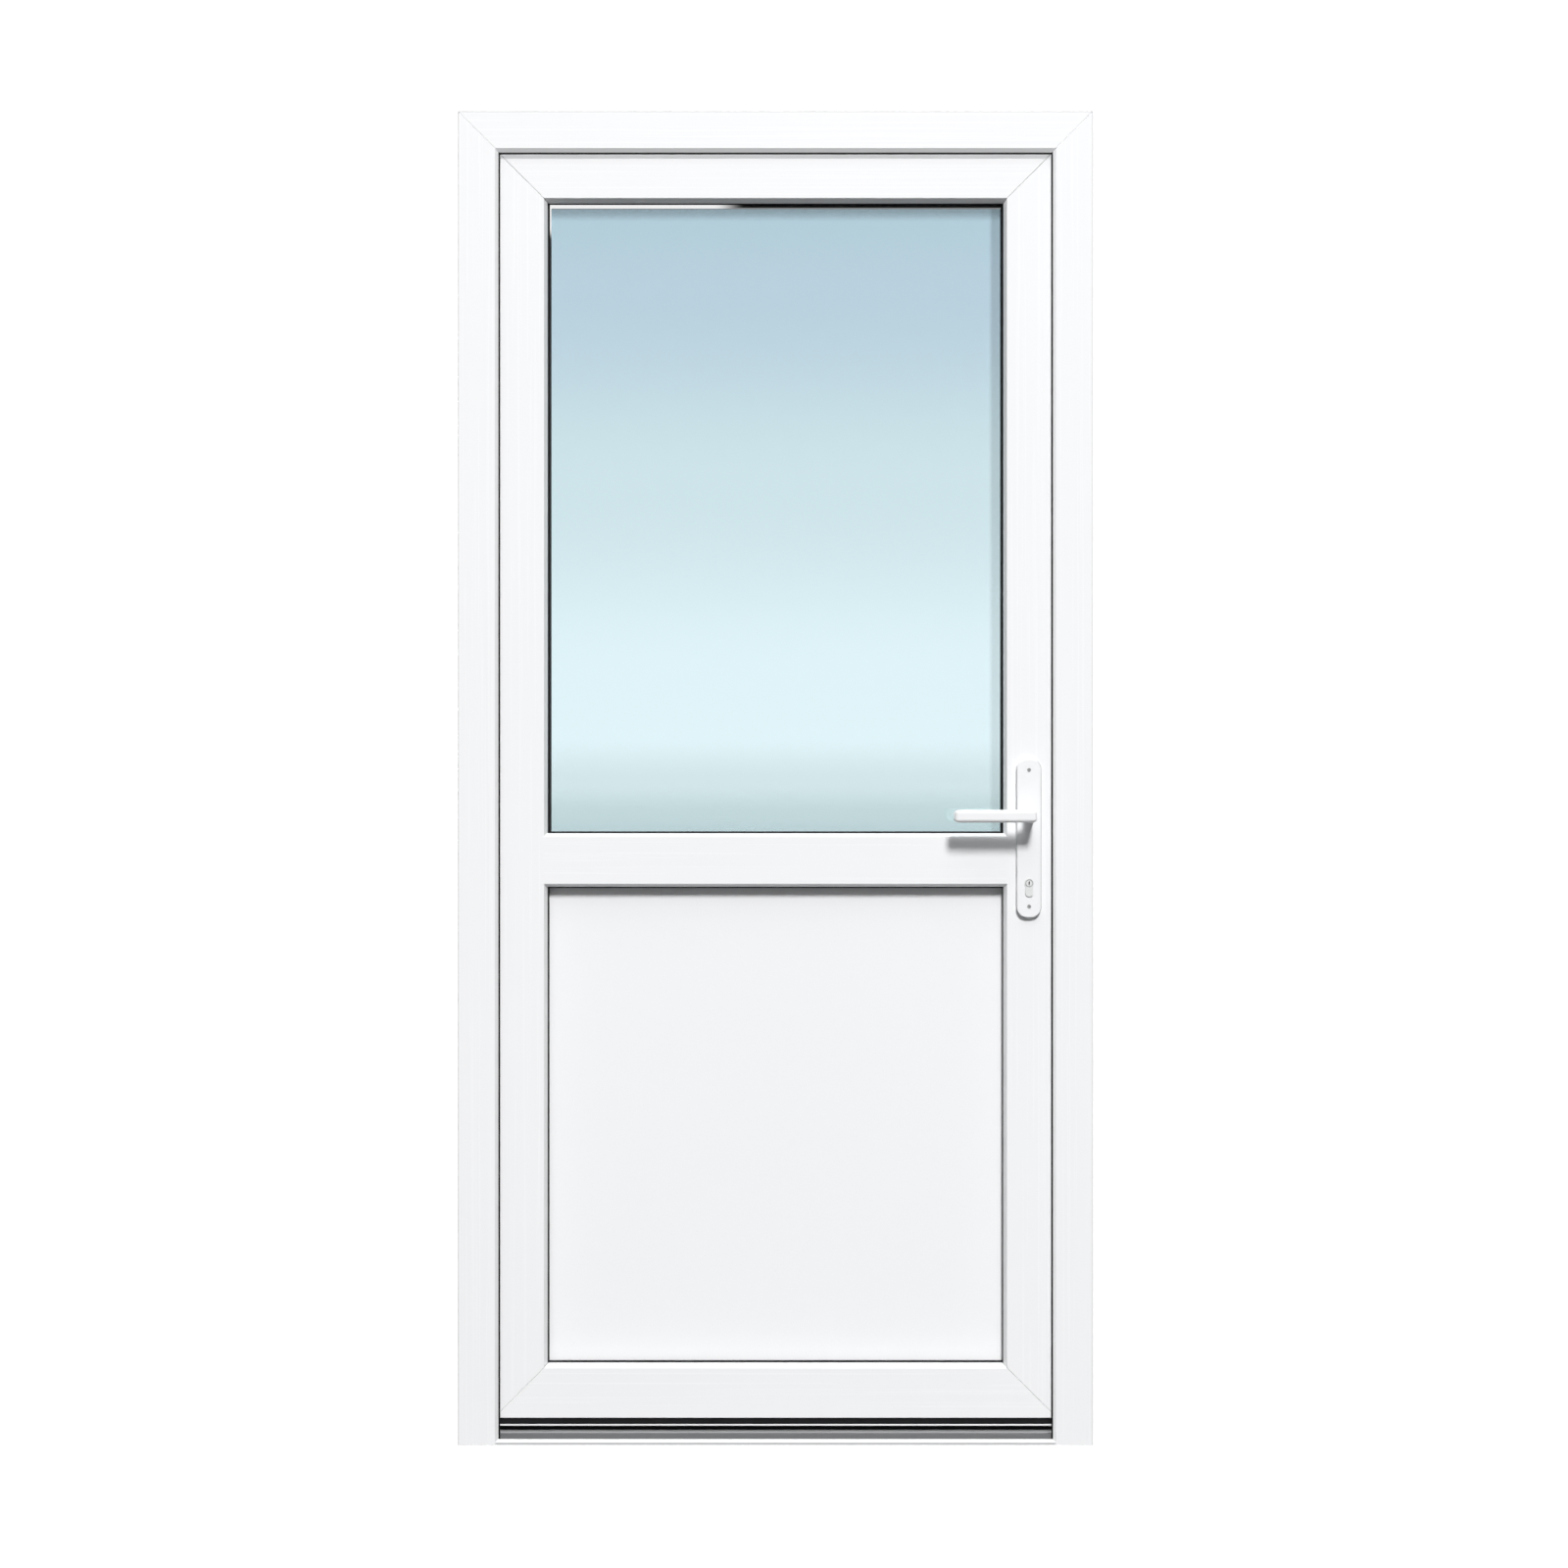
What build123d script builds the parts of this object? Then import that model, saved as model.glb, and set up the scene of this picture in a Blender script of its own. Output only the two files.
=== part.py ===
"""Half-glazed white PVC entrance door in its frame, inward opening, seen from outside along +Y.

Units are millimetres. +Z is up, -Y is the outside, +X is the lock side.
The origin is the middle of the sill underside, 30 mm behind the frame's outside face.
"""
import os
from build123d import *

os.makedirs("parts", exist_ok=True)

# ------------------------------------------------------------------ driving dimensions
W = 1000.0                # frame width
H = 2100.0                # frame height
FD = 70.0                 # depth of the room face of the frame
Y0 = -FD / 2              # plane that depths are measured from

# frame profile: u is the distance from the frame's outer edge, v the depth
FRAME_FACE = 5.0          # outside face of the frame
FRAME_FLAT = 58.4         # flat face
FRAME_NOSE = 62.4         # end of the bevelled lip
FRAME_BEVEL = 8.0         # depth where the bevel ends
FRAME_LIP = 10.0          # back of the lip
FRAME_REBATE = 45.0       # rebate base
SEAL_NOSE = 65.3          # free edge of the black frame seal

# leaf profile, same u and v
LEAF_FRONT = 15.0         # outside face of the leaf
LEAF_BACK = 85.0          # room face of the leaf
LEAF_EDGE = 55.5          # rebate edge of the leaf
FLANGE_EDGE = 37.0        # edge of the overlapping flange on the room side
FLANGE_FRONT = 76.0       # flange face turned to the frame
LEAF_FLAT = 133.0         # end of the flat outside face
LEG_END = 137.6           # end of the bevelled glazing leg
LEG_BEVEL = 23.0          # depth where the bevel ends
LEG_BACK = 31.0           # back of the glazing leg
GLAZE_BASE = 121.0        # glazing rebate base
LEAF_DROP = 15.3          # the leaf profile's zero line lies this far under the sill

# transom between glass and panel
TRANSOM_Z = 920.5
TR_FLAT = 37.7
TR_LEG = 42.3
TR_CORE = 25.7

# glazing
GLASS_FRONT = 34.0
PANE = 4.0
CAVITY = 16.0
INFILL = PANE * 2 + CAVITY
GASKET_U = 140.5          # sight line of the glazing gaskets
SPACER_U = 141.0          # sight line of the spacer
GLASS_EDGE = 126.0
BEAD_FRONT = 61.0
BEAD_U = 138.4            # sight line of the beads
PANEL_FRONT = 39.0        # the panel is thinner than the glass unit and lies deeper

# handle
HX = 399.5                # handle axis
HZ = 990.7
PLATE_W = 38.6
PLATE_H = 250.0
PLATE_R = 16.5
PLATE_T = 8.0
PLATE_Z = 955.3
SCREW_DZ = 107.5
CYL_Z = 884.4
CYL_R = 7.4
CYL_STEM = 12.4
CYL_DROP = 21.0
LEVER_OUT = 51.0          # lever axis in front of the leaf face
LEVER_W = 14.0
LEVER_H = 20.0
LEVER_TIP = 278.6
IN_LEVER_H = 16.0         # the inside lever is a little smaller
IN_LEVER_TIP = 293.0
SPINDLE = 8.0

# hinges
HINGE_U = 26.0
HINGE_V = 95.0
HINGE_ZS = (240.0, 1050.0, 1840.0)
KNUCKLE_R = 9.0
PIN_R = 4.0
RUN = 0.05                # running clearance
HINGE_H = 100.0

# frame fixing holes
FIX_R = 4.0
FIX_Y = 5.0
FIX_ZS = (180.0, 650.0, 1300.0, 1920.0)


def y(v):
    return Y0 + v


# frame section, with two anchor grooves in the edge that faces the wall
GROOVES_V = ((12.0, 24.0), (48.0, 60.0))
GROOVE_D = 4.0
FRAME_UV = [(0, FRAME_FACE), (FRAME_FLAT, FRAME_FACE), (FRAME_NOSE, FRAME_BEVEL), (FRAME_NOSE, FRAME_LIP),
            (FRAME_REBATE, FRAME_LIP), (FRAME_REBATE, FD), (0, FD),
            (0, GROOVES_V[1][1]), (GROOVE_D, GROOVES_V[1][1]), (GROOVE_D, GROOVES_V[1][0]), (0, GROOVES_V[1][0]),
            (0, GROOVES_V[0][1]), (GROOVE_D, GROOVES_V[0][1]), (GROOVE_D, GROOVES_V[0][0]), (0, GROOVES_V[0][0])]
FRAME_RAD = [0.8, 1.6, 0.8, 0.5, 0, 2.0, 0.8] + [0.5, 0, 0, 0.5] * 2

# leaf section, with the fittings groove in its rebate edge
FIT_V = (37.85, 54.15)
FIT_D = 2.5
LEAF_UV = [(LEAF_EDGE, LEAF_FRONT), (LEAF_FLAT, LEAF_FRONT), (LEG_END, LEG_BEVEL),
           (LEG_END, LEG_BACK), (GLAZE_BASE, LEG_BACK), (GLAZE_BASE, LEAF_BACK),
           (FLANGE_EDGE, LEAF_BACK), (FLANGE_EDGE, FLANGE_FRONT), (LEAF_EDGE, FLANGE_FRONT),
           (LEAF_EDGE, FIT_V[1]), (LEAF_EDGE + FIT_D, FIT_V[1]), (LEAF_EDGE + FIT_D, FIT_V[0]), (LEAF_EDGE, FIT_V[0])]
LEAF_RAD = [1.0, 1.8, 1.0, 0.5, 0, 0.6, 2.5, 1.0, 0, 0.4, 0, 0, 0.4]

# bead section
BEAD_UV = [(GLAZE_BASE, BEAD_FRONT), (BEAD_U, BEAD_FRONT), (BEAD_U, BEAD_FRONT + 6.5),
           (BEAD_U - 10.5, LEAF_BACK - 0.6), (GLAZE_BASE, LEAF_BACK - 0.6)]
BEAD_RAD = [0, 0.5, 2.0, 2.5, 0.6]

LX = W / 2 - LEAF_EDGE            # half width over the leaf's rebate edges
LZ0 = LEAF_EDGE - LEAF_DROP       # leaf bottom edge
LZ1 = H - LEAF_EDGE               # leaf top edge

# ------------------------------------------------------------------ frame
with BuildPart() as frame_head:
    with BuildSketch(Plane.YZ.offset(-W / 2)):
        with BuildLine():
            FilletPolyline(*[(y(v), H - u) for u, v in FRAME_UV], radius=FRAME_RAD, close=True)
        make_face()
    extrude(amount=W)
    split(bisect_by=Plane(origin=(-W / 2, 0, H), z_dir=(1, 0, 1)), keep=Keep.TOP)
    split(bisect_by=Plane(origin=(W / 2, 0, H), z_dir=(-1, 0, 1)), keep=Keep.TOP)
frame_head.part.label = "frame_head"
export_step(frame_head.part, "parts/frame_head.step")

with BuildPart() as frame_jamb_hinge:
    with BuildSketch(Plane.XY):
        with BuildLine():
            FilletPolyline(*[(-W / 2 + u, y(v)) for u, v in FRAME_UV], radius=FRAME_RAD, close=True)
        make_face()
    extrude(amount=H)
    split(bisect_by=Plane(origin=(-W / 2, 0, H), z_dir=(1, 0, 1)), keep=Keep.BOTTOM)
    with Locations(*[(-W / 2 + FRAME_REBATE / 2, FIX_Y, z) for z in FIX_ZS]):
        Cylinder(FIX_R, FRAME_REBATE + 2, rotation=(0, 90, 0), mode=Mode.SUBTRACT)
frame_jamb_hinge.part.label = "frame_jamb_hinge"
export_step(frame_jamb_hinge.part, "parts/frame_jamb_hinge.step")

# strike plate places on the lock jamb: middle height and length
STRIKES = ((950.0, 210.0), (330.0, 110.0), (1720.0, 110.0))
STRIKE_T = 2.0
STRIKE_W = 20.0
STRIKE_Y = 11.0
BOLT_SLOTS = ((1006.0, 36.0), (900.0, 40.0), (330.0, 50.0), (1720.0, 50.0))

with BuildPart() as frame_jamb_lock:
    with BuildSketch(Plane.XY):
        with BuildLine():
            FilletPolyline(*[(W / 2 - u, y(v)) for u, v in FRAME_UV], radius=FRAME_RAD, close=True)
        make_face()
    extrude(amount=H)
    split(bisect_by=Plane(origin=(W / 2, 0, H), z_dir=(-1, 0, 1)), keep=Keep.BOTTOM)
    with Locations(*[(W / 2 - FRAME_REBATE / 2, FIX_Y, z) for z in FIX_ZS]):
        Cylinder(FIX_R, FRAME_REBATE + 2, rotation=(0, 90, 0), mode=Mode.SUBTRACT)
    # shallow seats for the strike plates and pockets for the bolts
    for zc, ln in STRIKES:
        with Locations((W / 2 - FRAME_REBATE, STRIKE_Y, zc)):
            Box(2 * (STRIKE_T - 0.5), STRIKE_W + 0.4, ln + 0.4, mode=Mode.SUBTRACT)
    for zc, ln in BOLT_SLOTS:
        with Locations((W / 2 - FRAME_REBATE, STRIKE_Y, zc)):
            Box(30.0, 12.0, ln, mode=Mode.SUBTRACT)
frame_jamb_lock.part.label = "frame_jamb_lock"
export_step(frame_jamb_lock.part, "parts/frame_jamb_lock.step")

with BuildPart() as strike_plates:
    for zc, ln in STRIKES:
        with BuildSketch(Plane(origin=(W / 2 - FRAME_REBATE - 0.5, STRIKE_Y, zc), x_dir=(0, 1, 0), z_dir=(1, 0, 0))):
            RectangleRounded(STRIKE_W, ln, 3.0)
        extrude(amount=STRIKE_T)
    for zc, ln in BOLT_SLOTS:
        with Locations((W / 2 - FRAME_REBATE, STRIKE_Y, zc)):
            Box(10.0, 12.0, ln, mode=Mode.SUBTRACT)
    for zc, ln in STRIKES:
        for s in (-1, 1):
            with Locations((W / 2 - FRAME_REBATE, STRIKE_Y, zc + s * (ln / 2 - 9.0))):
                Cylinder(2.2, 10.0, rotation=(0, 90, 0), mode=Mode.SUBTRACT)
strike_plates.part.label = "strike_plates"
export_step(strike_plates.part, "parts/strike_plates.step")

# low aluminium threshold between the jambs, with an upstand for its seal
NOSE_V, NOSE_Z = FRAME_LIP, 9.0
THRESHOLD_VZ = [(NOSE_V, 0), (NOSE_V, NOSE_Z), (30, 12), (30, 17.2), (32, 17.2), (32, 13.5),
                (36, 13.5), (36, 15.5), (64, 15.5), (FD, 10), (FD, 0)]
THRESHOLD_RAD = [0, 0.3, 0, 0.4, 0.4, 0, 0, 0.5, 1.0, 1.0, 0]
TX = W / 2 - FRAME_REBATE
with BuildPart() as threshold:
    with BuildSketch(Plane.YZ.offset(-TX)):
        with BuildLine():
            FilletPolyline(*[(y(v), z) for v, z in THRESHOLD_VZ], radius=THRESHOLD_RAD, close=True)
        make_face()
    extrude(amount=2 * TX)
threshold.part.label = "threshold"
export_step(threshold.part, "parts/threshold.step")

# white nosing in front of it, scribed around the lips of the jambs
with BuildPart() as threshold_nosing:
    with BuildSketch(Plane.YZ.offset(-TX)):
        with BuildLine():
            FilletPolyline((y(FRAME_FACE), 0), (y(FRAME_FACE), 4.9), (y(NOSE_V), NOSE_Z), (y(NOSE_V), 0),
                           radius=[0, 0.8, 0.3, 0], close=True)
        make_face()
    extrude(amount=2 * TX)
    with BuildSketch(Plane.XY.offset(-1)):
        for s in (-1, 1):
            with BuildLine():
                Polyline((s * (W / 2 + 5), y(0)), (s * (W / 2 - FRAME_FLAT), y(0)),
                         (s * (W / 2 - FRAME_FLAT), y(FRAME_FACE)),
                         (s * (W / 2 - FRAME_NOSE), y(FRAME_BEVEL)),
                         (s * (W / 2 - FRAME_NOSE), y(FRAME_LIP) + 5),
                         (s * (W / 2 + 5), y(FRAME_LIP) + 5), close=True)
            make_face()
    extrude(amount=40, mode=Mode.SUBTRACT)
threshold_nosing.part.label = "threshold_nosing"
export_step(threshold_nosing.part, "parts/threshold_nosing.step")

with BuildPart() as threshold_seal:
    with BuildSketch(Plane.YZ.offset(-TX + 0.2)):
        with BuildLine():
            FilletPolyline((y(32), 13.5), (y(36), 13.5), (y(36), 18.0), (y(34.6), 21.9), (y(32.2), 21.9),
                           (y(32), 18.0), radius=[0, 0, 0.8, 0.9, 0.9, 0.4], close=True)
        make_face()
    extrude(amount=2 * TX - 0.4)
threshold_seal.part.label = "threshold_seal"
export_step(threshold_seal.part, "parts/threshold_seal.step")

# black seal on the nose of the frame lip, down both jambs and along the head
FS_X1, FS_X0 = W / 2 - FRAME_NOSE, W / 2 - SEAL_NOSE
with BuildPart() as frame_seal:
    with BuildSketch(Plane.XZ.offset(-y(FRAME_LIP))):
        with BuildLine():
            Polyline((-FS_X1, 9.6), (-FS_X1, H - FRAME_NOSE), (FS_X1, H - FRAME_NOSE), (FS_X1, 9.6),
                     (FS_X0, 9.6), (FS_X0, H - SEAL_NOSE), (-FS_X0, H - SEAL_NOSE), (-FS_X0, 9.6), close=True)
        make_face()
    extrude(amount=FRAME_LIP - FRAME_BEVEL)
frame_seal.part.label = "frame_seal"
export_step(frame_seal.part, "parts/frame_seal.step")

# ------------------------------------------------------------------ leaf members
with BuildPart() as top_rail:
    with BuildSketch(Plane.YZ.offset(-W / 2)):
        with BuildLine():
            FilletPolyline(*[(y(v), H - u) for u, v in LEAF_UV], radius=LEAF_RAD, close=True)
        make_face()
    extrude(amount=W)
    split(bisect_by=Plane(origin=(-W / 2, 0, H), z_dir=(1, 0, 1)), keep=Keep.TOP)
    split(bisect_by=Plane(origin=(W / 2, 0, H), z_dir=(-1, 0, 1)), keep=Keep.TOP)
top_rail.part.label = "top_rail"
export_step(top_rail.part, "parts/top_rail.step")

with BuildPart() as bottom_rail:
    with BuildSketch(Plane.YZ.offset(-W / 2)):
        with BuildLine():
            FilletPolyline(*[(y(v), u - LEAF_DROP) for u, v in LEAF_UV], radius=LEAF_RAD, close=True)
        make_face()
    extrude(amount=W)
    split(bisect_by=Plane(origin=(-W / 2, 0, -LEAF_DROP), z_dir=(1, 0, -1)), keep=Keep.TOP)
    split(bisect_by=Plane(origin=(W / 2, 0, -LEAF_DROP), z_dir=(-1, 0, -1)), keep=Keep.TOP)
bottom_rail.part.label = "bottom_rail"
export_step(bottom_rail.part, "parts/bottom_rail.step")

with BuildPart() as hinge_stile:
    with BuildSketch(Plane.XY.offset(-LEAF_DROP)):
        with BuildLine():
            FilletPolyline(*[(-W / 2 + u, y(v)) for u, v in LEAF_UV], radius=LEAF_RAD, close=True)
        make_face()
    extrude(amount=H + LEAF_DROP)
    split(bisect_by=Plane(origin=(-W / 2, 0, H), z_dir=(1, 0, 1)), keep=Keep.BOTTOM)
    split(bisect_by=Plane(origin=(-W / 2, 0, -LEAF_DROP), z_dir=(1, 0, -1)), keep=Keep.BOTTOM)
hinge_stile.part.label = "hinge_stile"
export_step(hinge_stile.part, "parts/hinge_stile.step")

# lock edge: bolt slots, spindle and cylinder passages; the faceplate lies in the fittings groove
FACE_W = 16.0
FACE_T = 2.5
FACE_Z0, FACE_Z1 = 160.0, 1940.0
with BuildPart() as lock_stile:
    with BuildSketch(Plane.XY.offset(-LEAF_DROP)):
        with BuildLine():
            FilletPolyline(*[(W / 2 - u, y(v)) for u, v in LEAF_UV], radius=LEAF_RAD, close=True)
        make_face()
    extrude(amount=H + LEAF_DROP)
    split(bisect_by=Plane(origin=(W / 2, 0, H), z_dir=(-1, 0, 1)), keep=Keep.BOTTOM)
    split(bisect_by=Plane(origin=(W / 2, 0, -LEAF_DROP), z_dir=(-1, 0, -1)), keep=Keep.BOTTOM)
    for zc, ln in BOLT_SLOTS:
        with Locations((LX, STRIKE_Y, zc)):
            Box(40.0, 10.6, ln - 5.4, mode=Mode.SUBTRACT)
    with Locations((HX, (y(LEAF_FRONT) + y(LEAF_BACK)) / 2, HZ)):
        Cylinder(10.5, LEAF_BACK - LEAF_FRONT + 2, rotation=(90, 0, 0), mode=Mode.SUBTRACT)
    with BuildSketch(Plane.XZ.offset(-y(LEAF_BACK) - 1)):
        with Locations((HX, CYL_Z)):
            Circle(CYL_R + 0.4)
        with Locations((HX, CYL_Z - (CYL_DROP - CYL_STEM / 2) / 2 - CYL_STEM / 4)):
            RectangleRounded(CYL_STEM + 0.8, CYL_DROP - CYL_STEM / 2 + CYL_STEM / 2 + 0.8, CYL_STEM / 2)
    extrude(amount=LEAF_BACK - LEAF_FRONT + 2, mode=Mode.SUBTRACT)
lock_stile.part.label = "lock_stile"
export_step(lock_stile.part, "parts/lock_stile.step")

with BuildPart() as transom:
    with BuildSketch(Plane.YZ.offset(-W / 2 + GLAZE_BASE)):
        with BuildLine():
            FilletPolyline((y(LEAF_FRONT), TRANSOM_Z - TR_FLAT), (y(LEAF_FRONT), TRANSOM_Z + TR_FLAT),
                           (y(LEG_BEVEL), TRANSOM_Z + TR_LEG), (y(LEG_BACK), TRANSOM_Z + TR_LEG),
                           (y(LEG_BACK), TRANSOM_Z + TR_CORE), (y(LEAF_BACK), TRANSOM_Z + TR_CORE),
                           (y(LEAF_BACK), TRANSOM_Z - TR_CORE), (y(LEG_BACK), TRANSOM_Z - TR_CORE),
                           (y(LEG_BACK), TRANSOM_Z - TR_LEG), (y(LEG_BEVEL), TRANSOM_Z - TR_LEG),
                           radius=[1.8, 1.8, 1.0, 0.5, 0, 0.6, 0.6, 0, 0.5, 1.0], close=True)
        make_face()
    extrude(amount=W - 2 * GLAZE_BASE)
    add(hinge_stile.part, mode=Mode.SUBTRACT)
    add(lock_stile.part, mode=Mode.SUBTRACT)
transom.part.label = "transom"
export_step(transom.part, "parts/transom.step")

# ------------------------------------------------------------------ glass unit and panel
GX = W / 2 - GLASS_EDGE
GZ0 = TRANSOM_Z + TR_CORE + 5.0
GZ1 = H - GLASS_EDGE
PZ0 = GLAZE_BASE - LEAF_DROP + 5.0
PZ1 = TRANSOM_Z - TR_CORE - 5.0

with BuildPart() as outer_pane:
    with Locations((0, y(GLASS_FRONT + PANE / 2), (GZ0 + GZ1) / 2)):
        Box(2 * GX, PANE, GZ1 - GZ0)
    chamfer(outer_pane.edges().filter_by(Axis.Y, reverse=True), length=0.4)
outer_pane.part.label = "outer_pane"
export_step(outer_pane.part, "parts/outer_pane.step")

with BuildPart() as inner_pane:
    with Locations((0, y(GLASS_FRONT + PANE + CAVITY + PANE / 2), (GZ0 + GZ1) / 2)):
        Box(2 * GX, PANE, GZ1 - GZ0)
    chamfer(inner_pane.edges().filter_by(Axis.Y, reverse=True), length=0.4)
inner_pane.part.label = "inner_pane"
export_step(inner_pane.part, "parts/inner_pane.step")

SX = W / 2 - SPACER_U
SZ0 = TRANSOM_Z + TR_LEG + 1.4
SZ1 = H - SPACER_U
with BuildPart() as glass_spacer:
    with Locations((0, y(GLASS_FRONT + PANE + CAVITY / 2), (GZ0 + GZ1) / 2)):
        Box(2 * GX - 2, CAVITY, GZ1 - GZ0 - 2)
    with Locations((0, y(GLASS_FRONT + PANE + CAVITY / 2), (SZ0 + SZ1) / 2)):
        Box(2 * SX, CAVITY + 2, SZ1 - SZ0, mode=Mode.SUBTRACT)
glass_spacer.part.label = "glass_spacer"
export_step(glass_spacer.part, "parts/glass_spacer.step")

with BuildPart() as lower_panel:
    with Locations((0, y((PANEL_FRONT + GLASS_FRONT + INFILL) / 2), (PZ0 + PZ1) / 2)):
        Box(2 * GX, GLASS_FRONT + INFILL - PANEL_FRONT, PZ1 - PZ0)
    chamfer(lower_panel.edges().filter_by(Axis.Y, reverse=True), length=0.5)
lower_panel.part.label = "lower_panel"
export_step(lower_panel.part, "parts/lower_panel.step")

# ------------------------------------------------------------------ glazing gaskets
QX1, QX0 = W / 2 - LEG_END + 9.0, W / 2 - GASKET_U
QG_Z0, QG_Z1 = TRANSOM_Z + TR_LEG + 2.9, H - GASKET_U
QP_Z0, QP_Z1 = GASKET_U - LEAF_DROP, TRANSOM_Z - TR_LEG - 2.9
with BuildPart() as glass_gasket_outer:
    with BuildSketch(Plane.XZ.offset(-y(GLASS_FRONT))):
        with Locations((0, (QG_Z0 + QG_Z1) / 2)):
            Rectangle(2 * QX0 + 18.0, QG_Z1 - QG_Z0 + 18.0)
            Rectangle(2 * QX0, QG_Z1 - QG_Z0, mode=Mode.SUBTRACT)
    extrude(amount=GLASS_FRONT - LEG_BACK)
glass_gasket_outer.part.label = "glass_gasket_outer"
export_step(glass_gasket_outer.part, "parts/glass_gasket_outer.step")

with BuildPart() as panel_gasket_outer:
    with BuildSketch(Plane.XZ.offset(-y(PANEL_FRONT))):
        with Locations((0, (QP_Z0 + QP_Z1) / 2)):
            Rectangle(2 * QX0 + 18.0, QP_Z1 - QP_Z0 + 18.0)
            Rectangle(2 * QX0, QP_Z1 - QP_Z0, mode=Mode.SUBTRACT)
    extrude(amount=PANEL_FRONT - LEG_BACK)
panel_gasket_outer.part.label = "panel_gasket_outer"
export_step(panel_gasket_outer.part, "parts/panel_gasket_outer.step")

BI = 0.6                                   # inner gaskets show this far past the beads
BX = W / 2 - BEAD_U
BG_Z0, BG_Z1 = TRANSOM_Z + TR_CORE + (BEAD_U - GLAZE_BASE), H - BEAD_U
BP_Z0, BP_Z1 = BEAD_U - LEAF_DROP, TRANSOM_Z - TR_CORE - (BEAD_U - GLAZE_BASE)
with BuildPart() as glass_gasket_inner:
    with BuildSketch(Plane.XZ.offset(-y(BEAD_FRONT))):
        with Locations((0, (BG_Z0 + BG_Z1) / 2)):
            Rectangle(2 * BX + 14.0, BG_Z1 - BG_Z0 + 14.0)
            Rectangle(2 * (BX - BI), BG_Z1 - BG_Z0 - 2 * BI, mode=Mode.SUBTRACT)
    extrude(amount=BEAD_FRONT - GLASS_FRONT - INFILL)
glass_gasket_inner.part.label = "glass_gasket_inner"
export_step(glass_gasket_inner.part, "parts/glass_gasket_inner.step")

with BuildPart() as panel_gasket_inner:
    with BuildSketch(Plane.XZ.offset(-y(BEAD_FRONT))):
        with Locations((0, (BP_Z0 + BP_Z1) / 2)):
            Rectangle(2 * BX + 14.0, BP_Z1 - BP_Z0 + 14.0)
            Rectangle(2 * (BX - BI), BP_Z1 - BP_Z0 - 2 * BI, mode=Mode.SUBTRACT)
    extrude(amount=BEAD_FRONT - GLASS_FRONT - INFILL)
panel_gasket_inner.part.label = "panel_gasket_inner"
export_step(panel_gasket_inner.part, "parts/panel_gasket_inner.step")

# ------------------------------------------------------------------ glazing beads, mitred with a hairline gap
HAIR = 0.15
BEX = W / 2 - GLAZE_BASE                   # half width between the glazing rebate bases


def bead_h(z_edge, sgn):
    """Points of a horizontal bead: z_edge is the rebate base, sgn +1 grows upwards."""
    return [(y(v), z_edge + sgn * (u - GLAZE_BASE)) for u, v in BEAD_UV]


def bead_v(x_edge, sgn):
    return [(x_edge + sgn * (u - GLAZE_BASE), y(v)) for u, v in BEAD_UV]


G0, G1 = TRANSOM_Z + TR_CORE, H - GLAZE_BASE
P0, P1 = GLAZE_BASE - LEAF_DROP, TRANSOM_Z - TR_CORE

with BuildPart() as glass_bead_top:
    with BuildSketch(Plane.YZ.offset(-BEX)):
        with BuildLine():
            FilletPolyline(*bead_h(G1, -1), radius=BEAD_RAD, close=True)
        make_face()
    extrude(amount=2 * BEX)
    split(bisect_by=Plane(origin=(-BEX + HAIR, 0, G1), z_dir=(1, 0, 1)), keep=Keep.TOP)
    split(bisect_by=Plane(origin=(BEX - HAIR, 0, G1), z_dir=(-1, 0, 1)), keep=Keep.TOP)
glass_bead_top.part.label = "glass_bead_top"
export_step(glass_bead_top.part, "parts/glass_bead_top.step")

with BuildPart() as glass_bead_bottom:
    with BuildSketch(Plane.YZ.offset(-BEX)):
        with BuildLine():
            FilletPolyline(*bead_h(G0, 1), radius=BEAD_RAD, close=True)
        make_face()
    extrude(amount=2 * BEX)
    split(bisect_by=Plane(origin=(-BEX + HAIR, 0, G0), z_dir=(1, 0, -1)), keep=Keep.TOP)
    split(bisect_by=Plane(origin=(BEX - HAIR, 0, G0), z_dir=(-1, 0, -1)), keep=Keep.TOP)
glass_bead_bottom.part.label = "glass_bead_bottom"
export_step(glass_bead_bottom.part, "parts/glass_bead_bottom.step")

with BuildPart() as glass_bead_left:
    with BuildSketch(Plane.XY.offset(G0)):
        with BuildLine():
            FilletPolyline(*bead_v(-BEX, 1), radius=BEAD_RAD, close=True)
        make_face()
    extrude(amount=G1 - G0)
    split(bisect_by=Plane(origin=(-BEX - HAIR, 0, G1), z_dir=(1, 0, 1)), keep=Keep.BOTTOM)
    split(bisect_by=Plane(origin=(-BEX - HAIR, 0, G0), z_dir=(1, 0, -1)), keep=Keep.BOTTOM)
glass_bead_left.part.label = "glass_bead_left"
export_step(glass_bead_left.part, "parts/glass_bead_left.step")

with BuildPart() as glass_bead_right:
    with BuildSketch(Plane.XY.offset(G0)):
        with BuildLine():
            FilletPolyline(*bead_v(BEX, -1), radius=BEAD_RAD, close=True)
        make_face()
    extrude(amount=G1 - G0)
    split(bisect_by=Plane(origin=(BEX + HAIR, 0, G1), z_dir=(-1, 0, 1)), keep=Keep.BOTTOM)
    split(bisect_by=Plane(origin=(BEX + HAIR, 0, G0), z_dir=(-1, 0, -1)), keep=Keep.BOTTOM)
glass_bead_right.part.label = "glass_bead_right"
export_step(glass_bead_right.part, "parts/glass_bead_right.step")

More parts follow.
